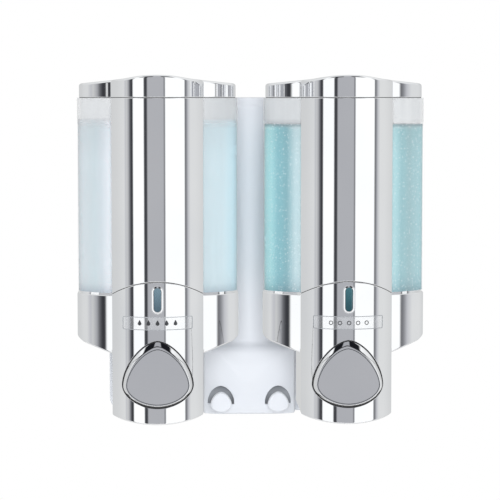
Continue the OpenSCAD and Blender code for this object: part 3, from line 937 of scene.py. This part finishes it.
def bar(name, start, length, r, n=40, chamfer=0.4):
    """A round bar along X with chamfered ends."""
    bm = bmesh.new()
    rings = []
    angles = [2 * math.pi * k / n for k in range(n)]
    for along, rr in ((0, r - chamfer), (chamfer, r), (length - chamfer, r), (length, r - chamfer)):
        circle_at = [Vector((along, rr * math.cos(a), rr * math.sin(a))) for a in angles]
        rings.append([bm.verts.new((Vector(start) + p) * MM) for p in circle_at])
    for one, two in zip(rings, rings[1:]):
        for k in range(n):
            bm.faces.new((one[k], one[(k + 1) % n], two[(k + 1) % n], two[k])).smooth = True
    bm.faces.new(rings[0])
    bm.faces.new(rings[-1][::-1])
    bmesh.ops.recalc_face_normals(bm, faces=bm.faces)
    mesh = bpy.data.meshes.new(name)
    bm.to_mesh(mesh)
    return bpy.data.objects.new(name, mesh)


def painted_shadow_strip(side, name, path, us, height, half, depth):
    """Painted shadow: a thin dark strip set in the gap of a seam."""
    skin = Skin()
    ends = (raised(height, -half), raised(height, half))
    sweep(skin, path, us, wall_rows(depth, ends), closed=path.closed)
    unit_piece(skin, side, name, "rubber", slot=None)


def seams(side):
    """The shadow lines under the lid and between the cover and the housing."""
    painted_shadow_strip(side, "lid_painted_shadow", CROWN, CROWN.stations()[:-1], RIM_Z + 0.1, 0.3, 0.22)
    painted_shadow_strip(side, "seam_painted_shadow", COVER, COVER.stations(), lambda p: seam_z(p[:, 0]), 0.45, 0.28)


def front_cover(side):
    """The long bowed cover in front of the chamber."""
    skin = Skin()
    def low(p):
        return seam_z(p[:, 0]) + SEAM_GAP
    panel(skin, COVER, COVER.stations(), low, COVER_HIGH[2], WALL, 0.5, 12)
    unit_piece(skin, side, "cover_shell", "chrome", stands_for="front_cover")


def rear_part(path, us, u0):
    """The stations past u0 on the right, round the rear, to -u0 on the left."""
    return np.concatenate([us[us >= u0 - TINY], us[us <= -u0 + TINY][1:] + 2 * path.end])


# Half width of the front panel, the y behind which the top is level, and the height at which the
# button's opening, base and face are widest; each has a half width, a rise and a fall.
FRONT_HW = 22.5
SEAM_REAR = -59.6
BUTTON_Z = -70.3
FACE_Z = -70.0
BUTTON_OPENING = (20.8, 26.6, 12.8)
BUTTON_BASE = (20.2, 26.0, 12.2)
BUTTON_FACE = (19.0, 21.9, 12.2)


def housing(side):
    """The lower column: bowed front with button and window openings, and a curved foot."""
    skin = Skin()
    r, foot_r = 0.5, 1.0
    flat_u, side_u = COLUMN.reach(0, FRONT_HW), COLUMN.reach(1, SHELF_Y)
    us = COLUMN.stations(flat_u, side_u)
    def low(p):
        return foot_z(p[:, 0]) + foot_r
    def high(p):
        front = p[:, 1] < SEAM_REAR
        return np.where(front, seam_z(p[:, 0]) - SEAM_GAP, BODY_FOOT - 0.3) - r
    heights = levels(low, high, 32)
    for flip in (-1, 1):
        part = us[(us * flip >= flat_u - TINY) & (us * flip <= side_u + TINY)]
        sweep(skin, COLUMN, part, wall_rows(0, heights), closed=False)
    inner = us[np.abs(us) <= flat_u + TINY]
    p = COLUMN.at(inner)[0]
    stands = np.array([z(p[[0, -1]]) for z in heights])
    left, right = (np.column_stack([np.full(len(heights), inner[k]), stands[:, k]])[1:-1] for k in (0, -1))
    edge = chain(np.column_stack([inner, low(p)]), right,
                 np.column_stack([inner, high(p)])[::-1], left[::-1])
    surf = wall_of(COLUMN)
    opening = turned(COLUMN.unroll(pick(*BUTTON_OPENING, BUTTON_Z)), True)
    window = turned(COLUMN.unroll(oval(WINDOW_Z, 6, 15.6)), True)
    holes = []
    for loop, edge_r, depth in ((opening, 0.45, WELL_MOUTH), (window, 0.25, 3.0)):
        rim(skin, surf, loop, edge_r, surf(loop, 0.0)[0] + np.array([0, depth, 0]))
        holes.append(inset(loop, edge_r))
    button_well(side, surf(opening, 0.0)[0], out_of(opening))
    sheet(skin, surf, [turned(edge, False), *holes], 1.3)
    front = us[np.abs(us) <= side_u + TINY]
    sweep(skin, COLUMN, front, corner_rows(r, high, r, 0, 90), edge_rows(r, WALL, raised(high, r), 1),
          closed=False)
    sweep(skin, COLUMN, rear_part(COLUMN, us, side_u), wall_rows(0, (low, SHELF_Z)), closed=False)
    sweep(skin, COLUMN, us[:-1], corner_rows(foot_r, low, foot_r, 0, -90))
    cap(skin, [ring(COLUMN, foot_r, us[:-1]), circle(0, PUMP_Y, 6)],
        lambda uv: foot_z(uv[:, 0]), -1, 2.2, lambda x: gradient(foot_z, x))
    shelf = np.array([(-COL_HW, SHELF_Y), (COL_HW, SHELF_Y), (COL_HW, COL_REAR), (-COL_HW, COL_REAR)])
    cap(skin, [shelf], SHELF_Z, 1, 6)
    skin.grid([[(x, SHELF_Y, z) for x in (-COL_HW, COL_HW)] for z in (SHELF_Z, BODY_FOOT)], (0, 1, 0))
    unit_piece(skin, side, "housing_shell", "chrome", stands_for="housing")


WELL_MOUTH = 1.0
WELL_Y = -65.2
WELL_LIP = 3.2


def button_well(side, edge, out):
    """The unplated wall of the housing behind the button's edge, out of the light, coloured black as
    painted shade.
    """
    skin = Skin()
    wall = upright(out, 0.0)
    mouth = edge + np.array([0, WELL_MOUTH, 0])
    back = edge * [1, 0, 1] + [0, WELL_Y, 0]
    skin.grid([mouth, back], wall, closed=True)
    skin.grid([back, back + wall * WELL_LIP], (0, -1, 0), closed=True)
    unit_piece(skin, side, "button_well", "rubber")


# The collar's lower edge: distances from the middle and heights, and where the column cuts it.
COLLAR_PLAN = (26.8, 44.2, 47.6, 50)
COLLAR_FOOT = (-53.6, -47.8, -45.6, -43.2)
COLLAR_CUT = -23.7


def collar(side):
    """The chromed skirt round the chamber's foot, cut away for the column."""
    skin = Skin()
    gap, r, lip, cut_hw, top = COLLAR_GAP, 1.1, 0.35, COL_HW + 0.3, COLLAR_HIGH[2]
    u0 = BODY.reach(0, cut_hw)
    us = rear_part(BODY, BODY.stations(u0), u0)
    def foot(x):
        return np.interp(np.abs(x), COLLAR_PLAN, COLLAR_FOOT)
    def low(p):
        return foot(p[:, 0])
    sweep(skin, BODY, us, wall_rows(gap, levels(raised(low, r), top - lip, 5)),
          wall_rows(gap + WALL, (top, raised(low, WALL)), -1),
          corner_rows(gap + lip, top - lip, lip, 0, 90), edge_rows(gap + lip, gap + WALL, top, 1),
          corner_rows(gap + r, raised(low, r), r, 0, -90), closed=False)
    cut = np.array([(-cut_hw, COLLAR_CUT), (cut_hw, COLLAR_CUT)])
    cap(skin, [chain(ring(BODY, gap + r, us), cut)], low, -1, 2.2, lambda x: gradient(foot, x))
    skin.flush_rear(BODY_REAR)
    unit_piece(skin, side, "collar_shell", "chrome", stands_for="collar")


NECK_R = 7.0
NECK_BORE = 4.5


def chamber(side):
    """The clear refill chamber: outer and inner wall, floor and the rim under the lid."""
    skin = Skin()
    us = TANK.stations()[:-1]
    panel(skin, TANK, us, BODY_FOOT, RIM_Z, WALL, 0.3, 6, closed=True)
    cap(skin, [ring(TANK, 0.3, us)], BODY_FOOT, -1, 4)
    cap(skin, [ring(TANK, WALL, us)], BODY_FOOT + WALL, 1, 4)
    us, r = SUMP.stations()[:-1], 0.8
    sweep(skin, SUMP, us, wall_rows(0, (BODY_FOOT, SUMP_Z + r)), corner_rows(r, SUMP_Z + r, r, 0, -90))
    cap(skin, [ring(SUMP, r, us), circle(0, PUMP_Y, NECK_R, 40)], SUMP_Z, -1, 3)
    turn = np.column_stack([circle(0, 0, 1, 40), np.zeros(40)])
    end = CH_LOW[2]
    neck = ((NECK_R, SUMP_Z), (NECK_R, end), (NECK_BORE, end), (NECK_BORE, SUMP_Z))
    rows = [turn * r + np.array([0, PUMP_Y, z]) for r, z in neck]
    for k, way in enumerate((turn, (0, 0, -1), -turn)):
        skin.grid(rows[k:k + 2], way, closed=True)
    unit_piece(skin, side, "chamber_wall", "clear", "clear_plastic", "chamber")


SOAP_LEVELS = {"left": 83.8, "right": 80.8}
SOAP_GAP = 0.45
CREEP = 0.9


def contents(side):
    """The soap in the chamber, with a raised edge where it wets the wall."""
    skin = Skin()
    us = TANK.stations()[:-1]
    gap, level = SOAP_GAP, SOAP_LEVELS[side]
    curve = []
    for a in np.linspace(0, math.pi / 2, 5):
        c, s = math.cos(a), math.sin(a)
        curve.append((gap + CREEP * (1 - c), level + CREEP * (1 - s), -c, s))
    sweep(skin, TANK, us, wall_rows(gap, levels(SOAP_FLOOR, level + CREEP, 5)), curve)
    cap(skin, [ring(TANK, gap + CREEP, us)], level, 1, 4)
    cap(skin, [ring(TANK, gap, us)], SOAP_FLOOR, -1, 4)
    unit_piece(skin, side, "contents", f"{side}_soap", "clear_plastic")


FACE_TILT = math.radians(8.65)
FACE_PIVOT = (-77.2, -48.6)


def on_face(loop, depth):
    """Places a front view loop on the button's tilted face, depth behind it."""
    y, z = FACE_PIVOT
    c, s = math.cos(FACE_TILT), math.sin(FACE_TILT)
    rise = loop[:, 1] - z
    return np.column_stack([loop[:, 0], y + depth * c + rise * s, z - depth * s + rise * c])


BUTTON_EDGE = 0.55
BUTTON_BACK = -71.5
BUTTON_ROOT = -75.5


def button(side):
    """The push button: tilted face, rounded edge, drafted flanks, and its fine dark lines, which are
    painted: a dark reflection on the face and a shadow round the base.
    """
    skin = Skin()
    base, face = pick(*BUTTON_BASE, BUTTON_Z), pick(*BUTTON_FACE, FACE_Z)
    normal = np.array([0, -math.cos(FACE_TILT), math.sin(FACE_TILT)])
    back, root, tip = upright(base, BUTTON_BACK), upright(base, BUTTON_ROOT), on_face(face, 0)
    r = BUTTON_EDGE
    out = out_of(turned(face, False))
    if np.sum(out * face) < 0:
        out = -out
    start = tip + unit(root - tip) * r
    end = on_face(face - out * r, 0)
    rows = [back, (back + root) / 2, root + np.array([0, 0.3, 0])]
    rows += [root * (1 - k) + start * k for k in np.linspace(0.06, 1, 7)]
    for a in np.linspace(0.25, 1, 5) * math.pi / 2:
        c, s = math.cos(a), math.sin(a)
        rows.append(start * (1 - s) + end * (1 - c) + tip * (s + c - 1))
    loft(skin, rows, last=normal)
    plane(skin, [turned(face - out * r, False)], 1.6, lambda uv: on_face(uv, 0), normal)
    unit_piece(skin, side, "button_shell", "chrome", stands_for="button", body="key")
    # A dark ring on the face, inside its edge: a painted dark reflection, laid just in front of the face.
    skin = Skin()
    painted_reflection = [turned(face - out * 0.7, False), turned(face - out * 1.2, True)]
    plane(skin, painted_reflection, 1.2, lambda uv: on_face(uv, -0.03), normal)
    unit_piece(skin, side, "button_painted_reflection", "painted_reflection", body="key")
    # A dark ring on the housing round the button's base: painted shadow in the gap round the button.
    skin = Skin()
    around = [COLUMN.unroll(base + out * 0.8), COLUMN.unroll(base + out * 0.05)]
    shell(skin, lifted(0.05), around, 0.1, 0.02, 1.2)
    unit_piece(skin, side, "button_painted_shadow", "rubber")


def lifted(by):
    """The column's front, moved outward."""
    surf = wall_of(COLUMN)
    return lambda uv, d: surf(uv, d - by)


def turned_skin(skin, z, profile, n=48):
    """A shape turned about a front-to-back axis, from rows of radius, depth and normal."""
    t = np.linspace(0, 2 * math.pi, n, endpoint=False)
    radial = np.column_stack([np.cos(t), np.zeros(n), np.sin(t)])
    points = [radial * r + np.array([0, y, z]) for r, y, _, _ in profile]
    normals = [radial * nr + np.array([0, ny, 0]) for _, _, nr, ny in profile]
    skin.grid(points, normals, closed=True)


BULB_R = 11.2
BULB_FLANGE = 1.4
BULB_DOME = 9.4
BULB_WALL = 1.5


def pump_bulb(side):
    """The silicone bulb behind the button: a flange and a dome, made as two pieces; the dome is the part
    that the button flattens.
    """
    low, high = corners(f"{side}_pump_bulb")
    back, z = high[1], (low[2] + high[2]) / 2
    foot, edge, hole = back - BULB_FLANGE, (high[2] - low[2]) / 2, BULB_R - BULB_WALL
    flange = Skin()
    section = [(edge, back), (edge, foot), (hole, foot), (hole, back), (edge, back)]
    ways = [(1, 0), (0, -1), (-1, 0), (0, 1)]
    for one, two, way in zip(section, section[1:], ways):
        turned_skin(flange, z, [(*one, *way), (*two, *way)])
    unit_piece(flange, side, "bulb_flange", "silicone", "silicone")
    dome = Skin()
    angles = np.linspace(0, math.pi / 2 - 0.03, 14)
    for a, b, way in ((BULB_R, BULB_DOME, 1), (hole, BULB_DOME - BULB_WALL, -1)):
        wall = [(a * math.cos(t), foot - b * math.sin(t), way * math.cos(t) / a, -way * math.sin(t) / b)
                for t in angles]
        turned_skin(dome, z, wall)
        turned_skin(dome, z, [(*wall[-1][:2], 0, -way), (0.05, foot - b, 0, -way)])
    obj = unit_piece(dome, side, "bulb_dome", "silicone", "silicone", "pump_bulb")
    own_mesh(obj)


BEZEL_W = 7.2
BEZEL_H = 16.8
FRAME_W = 4.9
FRAME_H = 14.5
LIP_W = 0.75
LIP_DROP = 0.33


def bezel_and_lens(side):
    """The level window: a thin chromed frame and a domed tinted lens."""
    skin = Skin()
    front = BEZEL_LOW[1]
    inner = oval(WINDOW_Z, FRAME_W, FRAME_H)
    shell(skin, flat(front + LIP_DROP), [oval(WINDOW_Z, BEZEL_W, BEZEL_H), inner], 1.1, 0.2, 0.9)
    crest = turned(inner, False)
    foot = turned(oval(WINDOW_Z, FRAME_W + 2 * LIP_W, FRAME_H + 2 * LIP_W), False)
    tilt = math.atan2(LIP_DROP, LIP_W)
    lean = upright(out_of(foot) * math.sin(tilt), -math.cos(tilt))
    lip = [upright(crest, front), upright(foot, front + LIP_DROP + EPS)]
    skin.grid(lip, lean, closed=True)
    unit_piece(skin, side, "bezel_ring", "chrome", stands_for="window_bezel")
    skin = Skin()
    domed = facing(lambda x, z: -LENS_LOW[1] - 0.06 * x ** 2)
    shell(skin, domed, [oval(WINDOW_Z, 4.5, 14.1)], 1.2, 0.4, 0.6)
    unit_piece(skin, side, "lens_glass", f"{side}_lens", "clear_plastic", "window_lens")


LABEL_HW = 20.0
MARK_STEP = 5.2
DROP_R = 1.15
BUBBLE_R = 1.3
BUBBLE_HOLE = 0.85


def label(side):
    """The label plate, with a plain pattern of drops or bubbles in place of lettering."""
    half = COLUMN.unroll(np.array([[LABEL_HW, 0.0]]))[0, 0]
    def plate_loop(by, r):
        return rounded_loop(by - half, LABEL_LOW[2] + by, half - by, LABEL_HIGH[2] - by, r)
    skin = Skin()
    shell(skin, lifted(0.7), [plate_loop(0.0, 0.9)], 0.4, 0.15, 1.5)
    unit_piece(skin, side, "label_plate", "label", "clear_plastic", "label")
    skin = Skin()
    shell(skin, lifted(0.68), [plate_loop(0.05, 0.9), plate_loop(0.45, 0.6)], 0.3, 0.08, 1.0)
    unit_piece(skin, side, "label_rim", "rim", "clear_plastic")
    skin = Skin()
    middle = (LABEL_LOW[2] + LABEL_HIGH[2]) / 2
    for k in range(-2, 3):
        x = k * MARK_STEP
        loops = drop(x, middle) if side == "left" else bubble(x, middle)
        shell(skin, lifted(0.74), loops, 0.1, 0.03, 0.6)
    unit_piece(skin, side, "label_marks", "ink", "clear_plastic")


def drop(x, z):
    """A round foot that narrows to a point above."""
    loop = circle(x, z, DROP_R, 20)
    lift = np.clip(loop[:, 1] - z, 0, None)
    return [np.column_stack([x + (loop[:, 0] - x) * (1 - lift * 0.6), loop[:, 1] + lift * 0.8])]


def bubble(x, z):
    """A small ring."""
    return [circle(x, z, BUBBLE_R, 20), circle(x, z, BUBBLE_HOLE, 16)]


# ---------------------------------------------------------------- wall plate

RIDGE = {"hw": 28.2, "split": -54.5, "r_low": 62.2, "cy_low": 42.0, "r_high": 45.0, "cy_high": 34.0}
PROFILE_Z = (-96.5, -93, -84, -76, -66, -57, -54.5, -40, 0, 60, 92, 97.5)
PROFILE_D = (17, 18.6, 20, 20.2, 19, 16.5, 13.5, 12, 11, 10.4, 9.8, 7.8)
HOOKS = (("left", -17.5), ("right", 17.5))
SHEET_T = 3.0
SHEET_HW = 86.0
SCREWS = [(x, z) for x in (-78, 78) for z in (-46, 84)]
SCREW_R = 2.25
HOLE_EDGE = 0.3
BLOCK_EDGE = 1.1
ARCH_HW = 8.0
ARCH_Z = -88.6
ARCH_RISE = 9.6
ARCH_FOOT = 1.5
ARCH_EDGE = 0.5
ARCH_WALL = 0.6
RECESS_FLOOR = -14.4
TAPE_SEAT = 1.2
# The two hollows and the two tape seats in the back: left edges, width and height span.
HOLLOWS = ((-26, 3), 23, -93.5, 94.5)
SEATS = ((-66, 38), 28, -84, 84)


def middle_depth(x, z):
    """How far the raised middle stands off the wall."""
    along = np.interp(z, PROFILE_Z, PROFILE_D)
    low = np.sqrt(RIDGE["r_low"] ** 2 - x ** 2) - RIDGE["cy_low"]
    high = np.sqrt(RIDGE["r_high"] ** 2 - x ** 2) - RIDGE["cy_high"]
    k = smooth((z - RIDGE["split"] + 1.5) / 3.0)
    return np.maximum(np.minimum(along, low * (1 - k) + high * k), SHEET_T)


def eased_depth(x, z):
    """The same with its creases softened."""
    steps = (-1.2, -0.6, 0.0, 0.6, 1.2)
    return sum(middle_depth(x, np.clip(z + s, PROFILE_Z[0], PROFILE_Z[-1])) for s in steps) / len(steps)


def arch():
    """The outline of the arched recess over a hook."""
    a = np.radians(np.linspace(0, 90, 25))
    c, s = np.cos(a) ** (2 / 1.8), np.sin(a) ** (2 / 1.8)
    right = np.column_stack([ARCH_HW * c, ARCH_Z + ARCH_RISE * s])
    foot = np.array([(-ARCH_HW, ARCH_Z - ARCH_FOOT), (ARCH_HW, ARCH_Z - ARCH_FOOT)])
    return even(chain(right[:-1], right[::-1] * [-1, 1], foot), 90)


def wall_plate():
    """The moulded plate: flat sheet, raised middle with hook recesses and hollow back."""
    skin = Skin()
    low, high, hw, r = PLATE_LOW[2], PLATE_HIGH[2], RIDGE["hw"], 0.8
    outline = turned(rounded_loop(-SHEET_HW, low, SHEET_HW, high, 9, 2.5), False)
    screws = [turned(circle(x, z, SCREW_R, 24), True) for x, z in SCREWS]
    front = flat(-SHEET_T)
    rim(skin, front, outline, r, SHEET_T)
    for loop in screws:
        rim(skin, front, loop, HOLE_EDGE, SHEET_T)
    gap = turned(rounded_loop(-hw, low + 0.9, hw, high - 0.9, 0.4, 2.5), True)
    holes = [inset(loop, HOLE_EDGE) for loop in screws]
    sheet(skin, front, [inset(outline, r), gap, *holes], 5)
    raised_face = facing(eased_depth)
    arches = [hook_recess(skin, raised_face, side, x) for side, x in HOOKS]
    block = turned(rounded_loop(-hw, low, hw, high, 1.2, 1.6), False)
    rim(skin, raised_face, block, BLOCK_EDGE, upright(block, -EPS))
    sheet(skin, raised_face, [inset(block, BLOCK_EDGE), *arches], 1.5)
    hollows, seats = pair_of(HOLLOWS, 1.0), pair_of(SEATS, 0.8)
    sheet(skin, flat(0.0), [outline, *hollows, *seats, *screws], 6, flip=True)
    for loop in hollows:
        pocket(skin, loop)
    for loop in seats:
        pocket(skin, loop, TAPE_SEAT)
    skin.object("wall_plate_shell", MATS["white"], "plate", ["wall_plate"], "white_plastic")


def pair_of(spans, r):
    """Outlines of a pair of openings in the plate's back."""
    starts, width, low, high = spans
    return [turned(rounded_loop(x, low, x + width, high, r, 4), True) for x in starts]


def hook_recess(skin, surf, side, x):
    """The recess over a hook, as its own piece that wears the painted shade; gives the edge that it cuts in
    the plate's face.
    """
    recess = Skin()
    loop = turned(arch() + np.array([x, 0]), True)
    near = surf(loop, 0.0)[0] + np.array([0, ARCH_WALL, 0])
    rim(skin, surf, loop, ARCH_EDGE, near)
    recess.grid([near, upright(loop, RECESS_FLOOR)], upright(out_of(loop), 0.0), closed=True)
    sheet(recess, flat(RECESS_FLOOR), [turned(loop, False)], 1.5)
    recess.object(f"{side}_hook_recess", MATS["recess"], "plate", (), "white_plastic")
    return inset(loop, ARCH_EDGE)


def pocket(skin, loop, depth=None):
    """A hollow in the plate's back: walls all round and a floor, at a depth or 2.6 mm from the front."""
    def on_floor(uv):
        deep = np.minimum(eased_depth(uv[:, 0], uv[:, 1]) - 2.6, 12.0) if depth is None else depth
        return upright(uv, -deep)
    skin.grid([upright(loop, 0.0), on_floor(loop)], upright(out_of(loop), 0.0), closed=True)
    plane(skin, [turned(loop, False)], 3, on_floor, (0, 1, 0))


KNOB_HW = 6.5
KNOB_TOP = 7.6
KNOB_FOOT = 4.6
KNOB_Z = -89.6
KNOB_ROWS = ((-19.4, 0.86), (-19.6, 0.95), (-20.2, 0.99), (-21.5, 1.0), (-23.2, 1.0),
             (-23.9, 0.985), (-24.3, 0.94), (-24.52, 0.87), (-24.6, 0.78))
STEM_Z = -88.2
STEM_R = 3.4


def hooks():
    """Each hook: a round stem and a knob with rounded edges."""
    for side, x in HOOKS:
        skin = Skin()
        loop = bowed(KNOB_HW, KNOB_Z, KNOB_TOP, KNOB_FOOT, (1.7, 2.0), 40, 72) + np.array([x, 0])
        centre = loop.mean(0)
        rings = [(centre + (loop - centre) * k, y) for y, k in KNOB_ROWS]
        loft(skin, [upright(*row) for row in rings], last=np.array([0.0, -1.0, 0.0]))
        for (row, y), way in ((rings[-1], -1), (rings[0], 1)):
            plane(skin, [turned(row, False)], 1.2, lambda uv, y=y: upright(uv, y), (0, way, 0))
        stem = circle(x, STEM_Z, STEM_R, 32)
        loft(skin, [upright(stem, y) for y in (-14.0, -17.0, -19.6)])
        skin.object(f"{side}_hook_knob", MATS["white"], "plate", (), "white_plastic")


# The tongues' roots, half width and front, and the thickness and height of their foot and blade.
TONGUE_Z = (-5.0, 55.0)
TONGUE_HW = 12
TONGUE_DEPTH = 10.0
TONGUE_STEPS = ((8.0, 7), (3.0, 25))


def tongues():
    """The four upturned tongues that carry the units."""
    for side in SIDES:
        for k, z in enumerate(TONGUE_Z):
            skin = Skin()
            x = UNIT_X[side]
            for wall, top in TONGUE_STEPS:
                outline = rounded_loop(x - TONGUE_HW, z, x + TONGUE_HW, z + top, 1.0, 2)
                shell(skin, flat(-TONGUE_DEPTH), [outline], wall, 0.4, 3)
            skin.object(f"{side}_tongue_{k + 1}", MATS["white"], "plate", (), "white_plastic")


# ---------------------------------------------------------------- carried-over pieces

KEPT = {
    "hanger": "white", "lid_pin": "steel", "pump_body": "inner",
    "bulb_ring": "inner", "inlet_valve": "silicone", "outlet_valve": "silicone",
    "nozzle": "inner", "neck_seal": "rubber",
}


def dress(name, mat):
    """Gives a kept CAD node its material."""
    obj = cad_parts[name]
    for slot in obj.material_slots:
        slot.material = mat
    if not obj.material_slots:
        obj.data.materials.append(mat)
    obj.visible_glossy = False


# ---------------------------------------------------------------- stage

LEVEL_GREYS = (
    (-180, 204), (-150, 204), (-110, 208), (-84, 215), (-79, 190), (-76, 200), (-70.5, 165),
    (-67, 105), (-63.5, 62), (-59.5, 52), (-57.3, 255), (-32, 255), (-30.5, 70), (-24.5, 62),
    (-22, 174), (14.5, 174), (16, 120), (17.8, 120), (19.5, 255), (66.5, 255), (68, 100),
    (72.5, 140), (77, 192), (84, 218), (100, 218), (130, 210), (150, 204), (180, 204),
)
HIGH_GREYS = (
    (-180, 214), (-85, 225), (-70, 252), (-57, 252), (-48, 30), (-14, 25), (-11, 165), (11, 165),
    (14, 25), (45, 30), (55, 252), (80, 235), (180, 214),
)


def bands(tree, place, greys):
    """Upright bands of grey round the part, in degrees from the front; the deeper ones are bluer."""
    rows = [(angle, g - 1, g, g + 4 if g < 195 else g) for angle, g in greys]
    return ramp(tree, place, stops(rows, 180))


MIRRORED_STRENGTH = 1.08
SOFT_STRENGTH = 0.66


def studio():
    """Soft surroundings: upright white cards and black flags for the chrome to mirror."""
    world = bpy.data.worlds.new("studio")
    bpy.context.scene.world = world
    world.use_nodes = True
    tree = world.node_tree
    tree.nodes.clear()
    generated = node(tree, "TexCoord", "Generated", {})
    way = node(tree, "SeparateXYZ", "X", {"Vector": generated}).node.outputs
    back = node(tree, "Math", 0, {0: way["Y"], 1: -1.0}, operation="MULTIPLY")
    turn = node(tree, "Math", 0, {0: way["X"], 1: back}, operation="ARCTAN2")
    place = scaled(tree, turn, -math.pi, math.pi)
    level = bands(tree, place, LEVEL_GREYS)
    high = bands(tree, place, HIGH_GREYS)
    zenith, below = (*rgb(216, 217, 219), 1), (*rgb(226, 227, 229), 1)
    sky = mixed(tree, scaled(tree, way["Z"], 0.38, 0.52), level, high)
    sky = mixed(tree, scaled(tree, way["Z"], 0.84, 0.92), sky, zenith)
    sky = mixed(tree, scaled(tree, way["Z"], -0.75, -0.6), below, sky)
    white = (1, 1, 1, 1)
    mirrored = node(tree, "Background", 0, {"Color": sky, "Strength": MIRRORED_STRENGTH})
    soft_white = node(tree, "Background", 0, {"Color": white, "Strength": SOFT_STRENGTH})
    plain = node(tree, "Background", 0, {"Color": white})
    ray = node(tree, "LightPath", 0, {}).node.outputs
    lit = node(tree, "MixShader", 0, {"Fac": ray["Is Glossy Ray"], 1: soft_white, 2: mirrored})
    shown = node(tree, "MixShader", 0, {"Fac": ray["Is Camera Ray"], 1: lit, 2: plain})
    tree.links.new(shown, tree.nodes.new("ShaderNodeOutputWorld").inputs["Surface"])


def linked(obj):
    """Puts an object in the scene."""
    bpy.context.scene.collection.objects.link(obj)
    return obj


def soft_light(name, place, size, watts):
    """A large area light aimed at the part, unseen in the chrome."""
    data = bpy.data.lights.new(name, "AREA")
    data.size = size
    data.energy = watts
    light = linked(bpy.data.objects.new(name, data))
    light.location = place
    light.rotation_euler = (-Vector(place)).to_track_quat("-Z", "Y").to_euler()
    light.visible_glossy = False


FLOOR_Z = -0.45


def pale_floor():
    """A round pale floor well below the part."""
    bm = bmesh.new()
    bmesh.ops.create_circle(bm, cap_ends=True, radius=0.6, segments=64)
    mesh = bpy.data.meshes.new("floor")
    bm.to_mesh(mesh)
    mesh.materials.append(plastic("floor_paint", (236, 236, 236), (242, 242, 242), 0.7))
    floor = linked(bpy.data.objects.new("floor", mesh))
    floor.location = (0, 0, FLOOR_Z)


CAMERA_AT = (-0.0455, -1.262, 0.0975)
CAMERA_AIM = (-0.0013, -0.062, 0.0079)
CAMERA_LENS = 147.3


def photo_camera():
    """The viewpoint: a little left of the middle and level with the lids."""
    data = bpy.data.cameras.new("camera")
    data.sensor_width = 36
    data.lens = CAMERA_LENS
    data.clip_start = 0.05
    cam = linked(bpy.data.objects.new("camera", data))
    cam.location = CAMERA_AT
    aim = Vector(CAMERA_AIM) - cam.location
    cam.rotation_euler = aim.to_track_quat("-Z", "Y").to_euler()
    bpy.context.scene.camera = cam


# ---------------------------------------------------------------- everything put together

photo_camera()
studio()
pale_floor()
soft_light("left", (-1.4, -1.1, 0.6), 0.9, 4)
soft_light("right", (1.4, -1.1, 0.4), 0.9, 3)
soft_light("front", (0.0, -1.6, 0.3), 0.8, 14)
bpy.context.scene.view_settings.view_transform = "Standard"

for side in SIDES:
    chamber(side)
    contents(side)
    lid(side)
    lid_knuckle(side)
    front_cover(side)
    seams(side)
    housing(side)
    collar(side)
    button(side)
    pump_bulb(side)
    bezel_and_lens(side)
    label(side)
    for kept, finish in KEPT.items():
        dress(f"{side}_{kept}", MATS[finish])
wall_plate()
hooks()
tongues()
for pad in ("tape_pad_left", "tape_pad_right"):
    dress(pad, MATS["tape"])
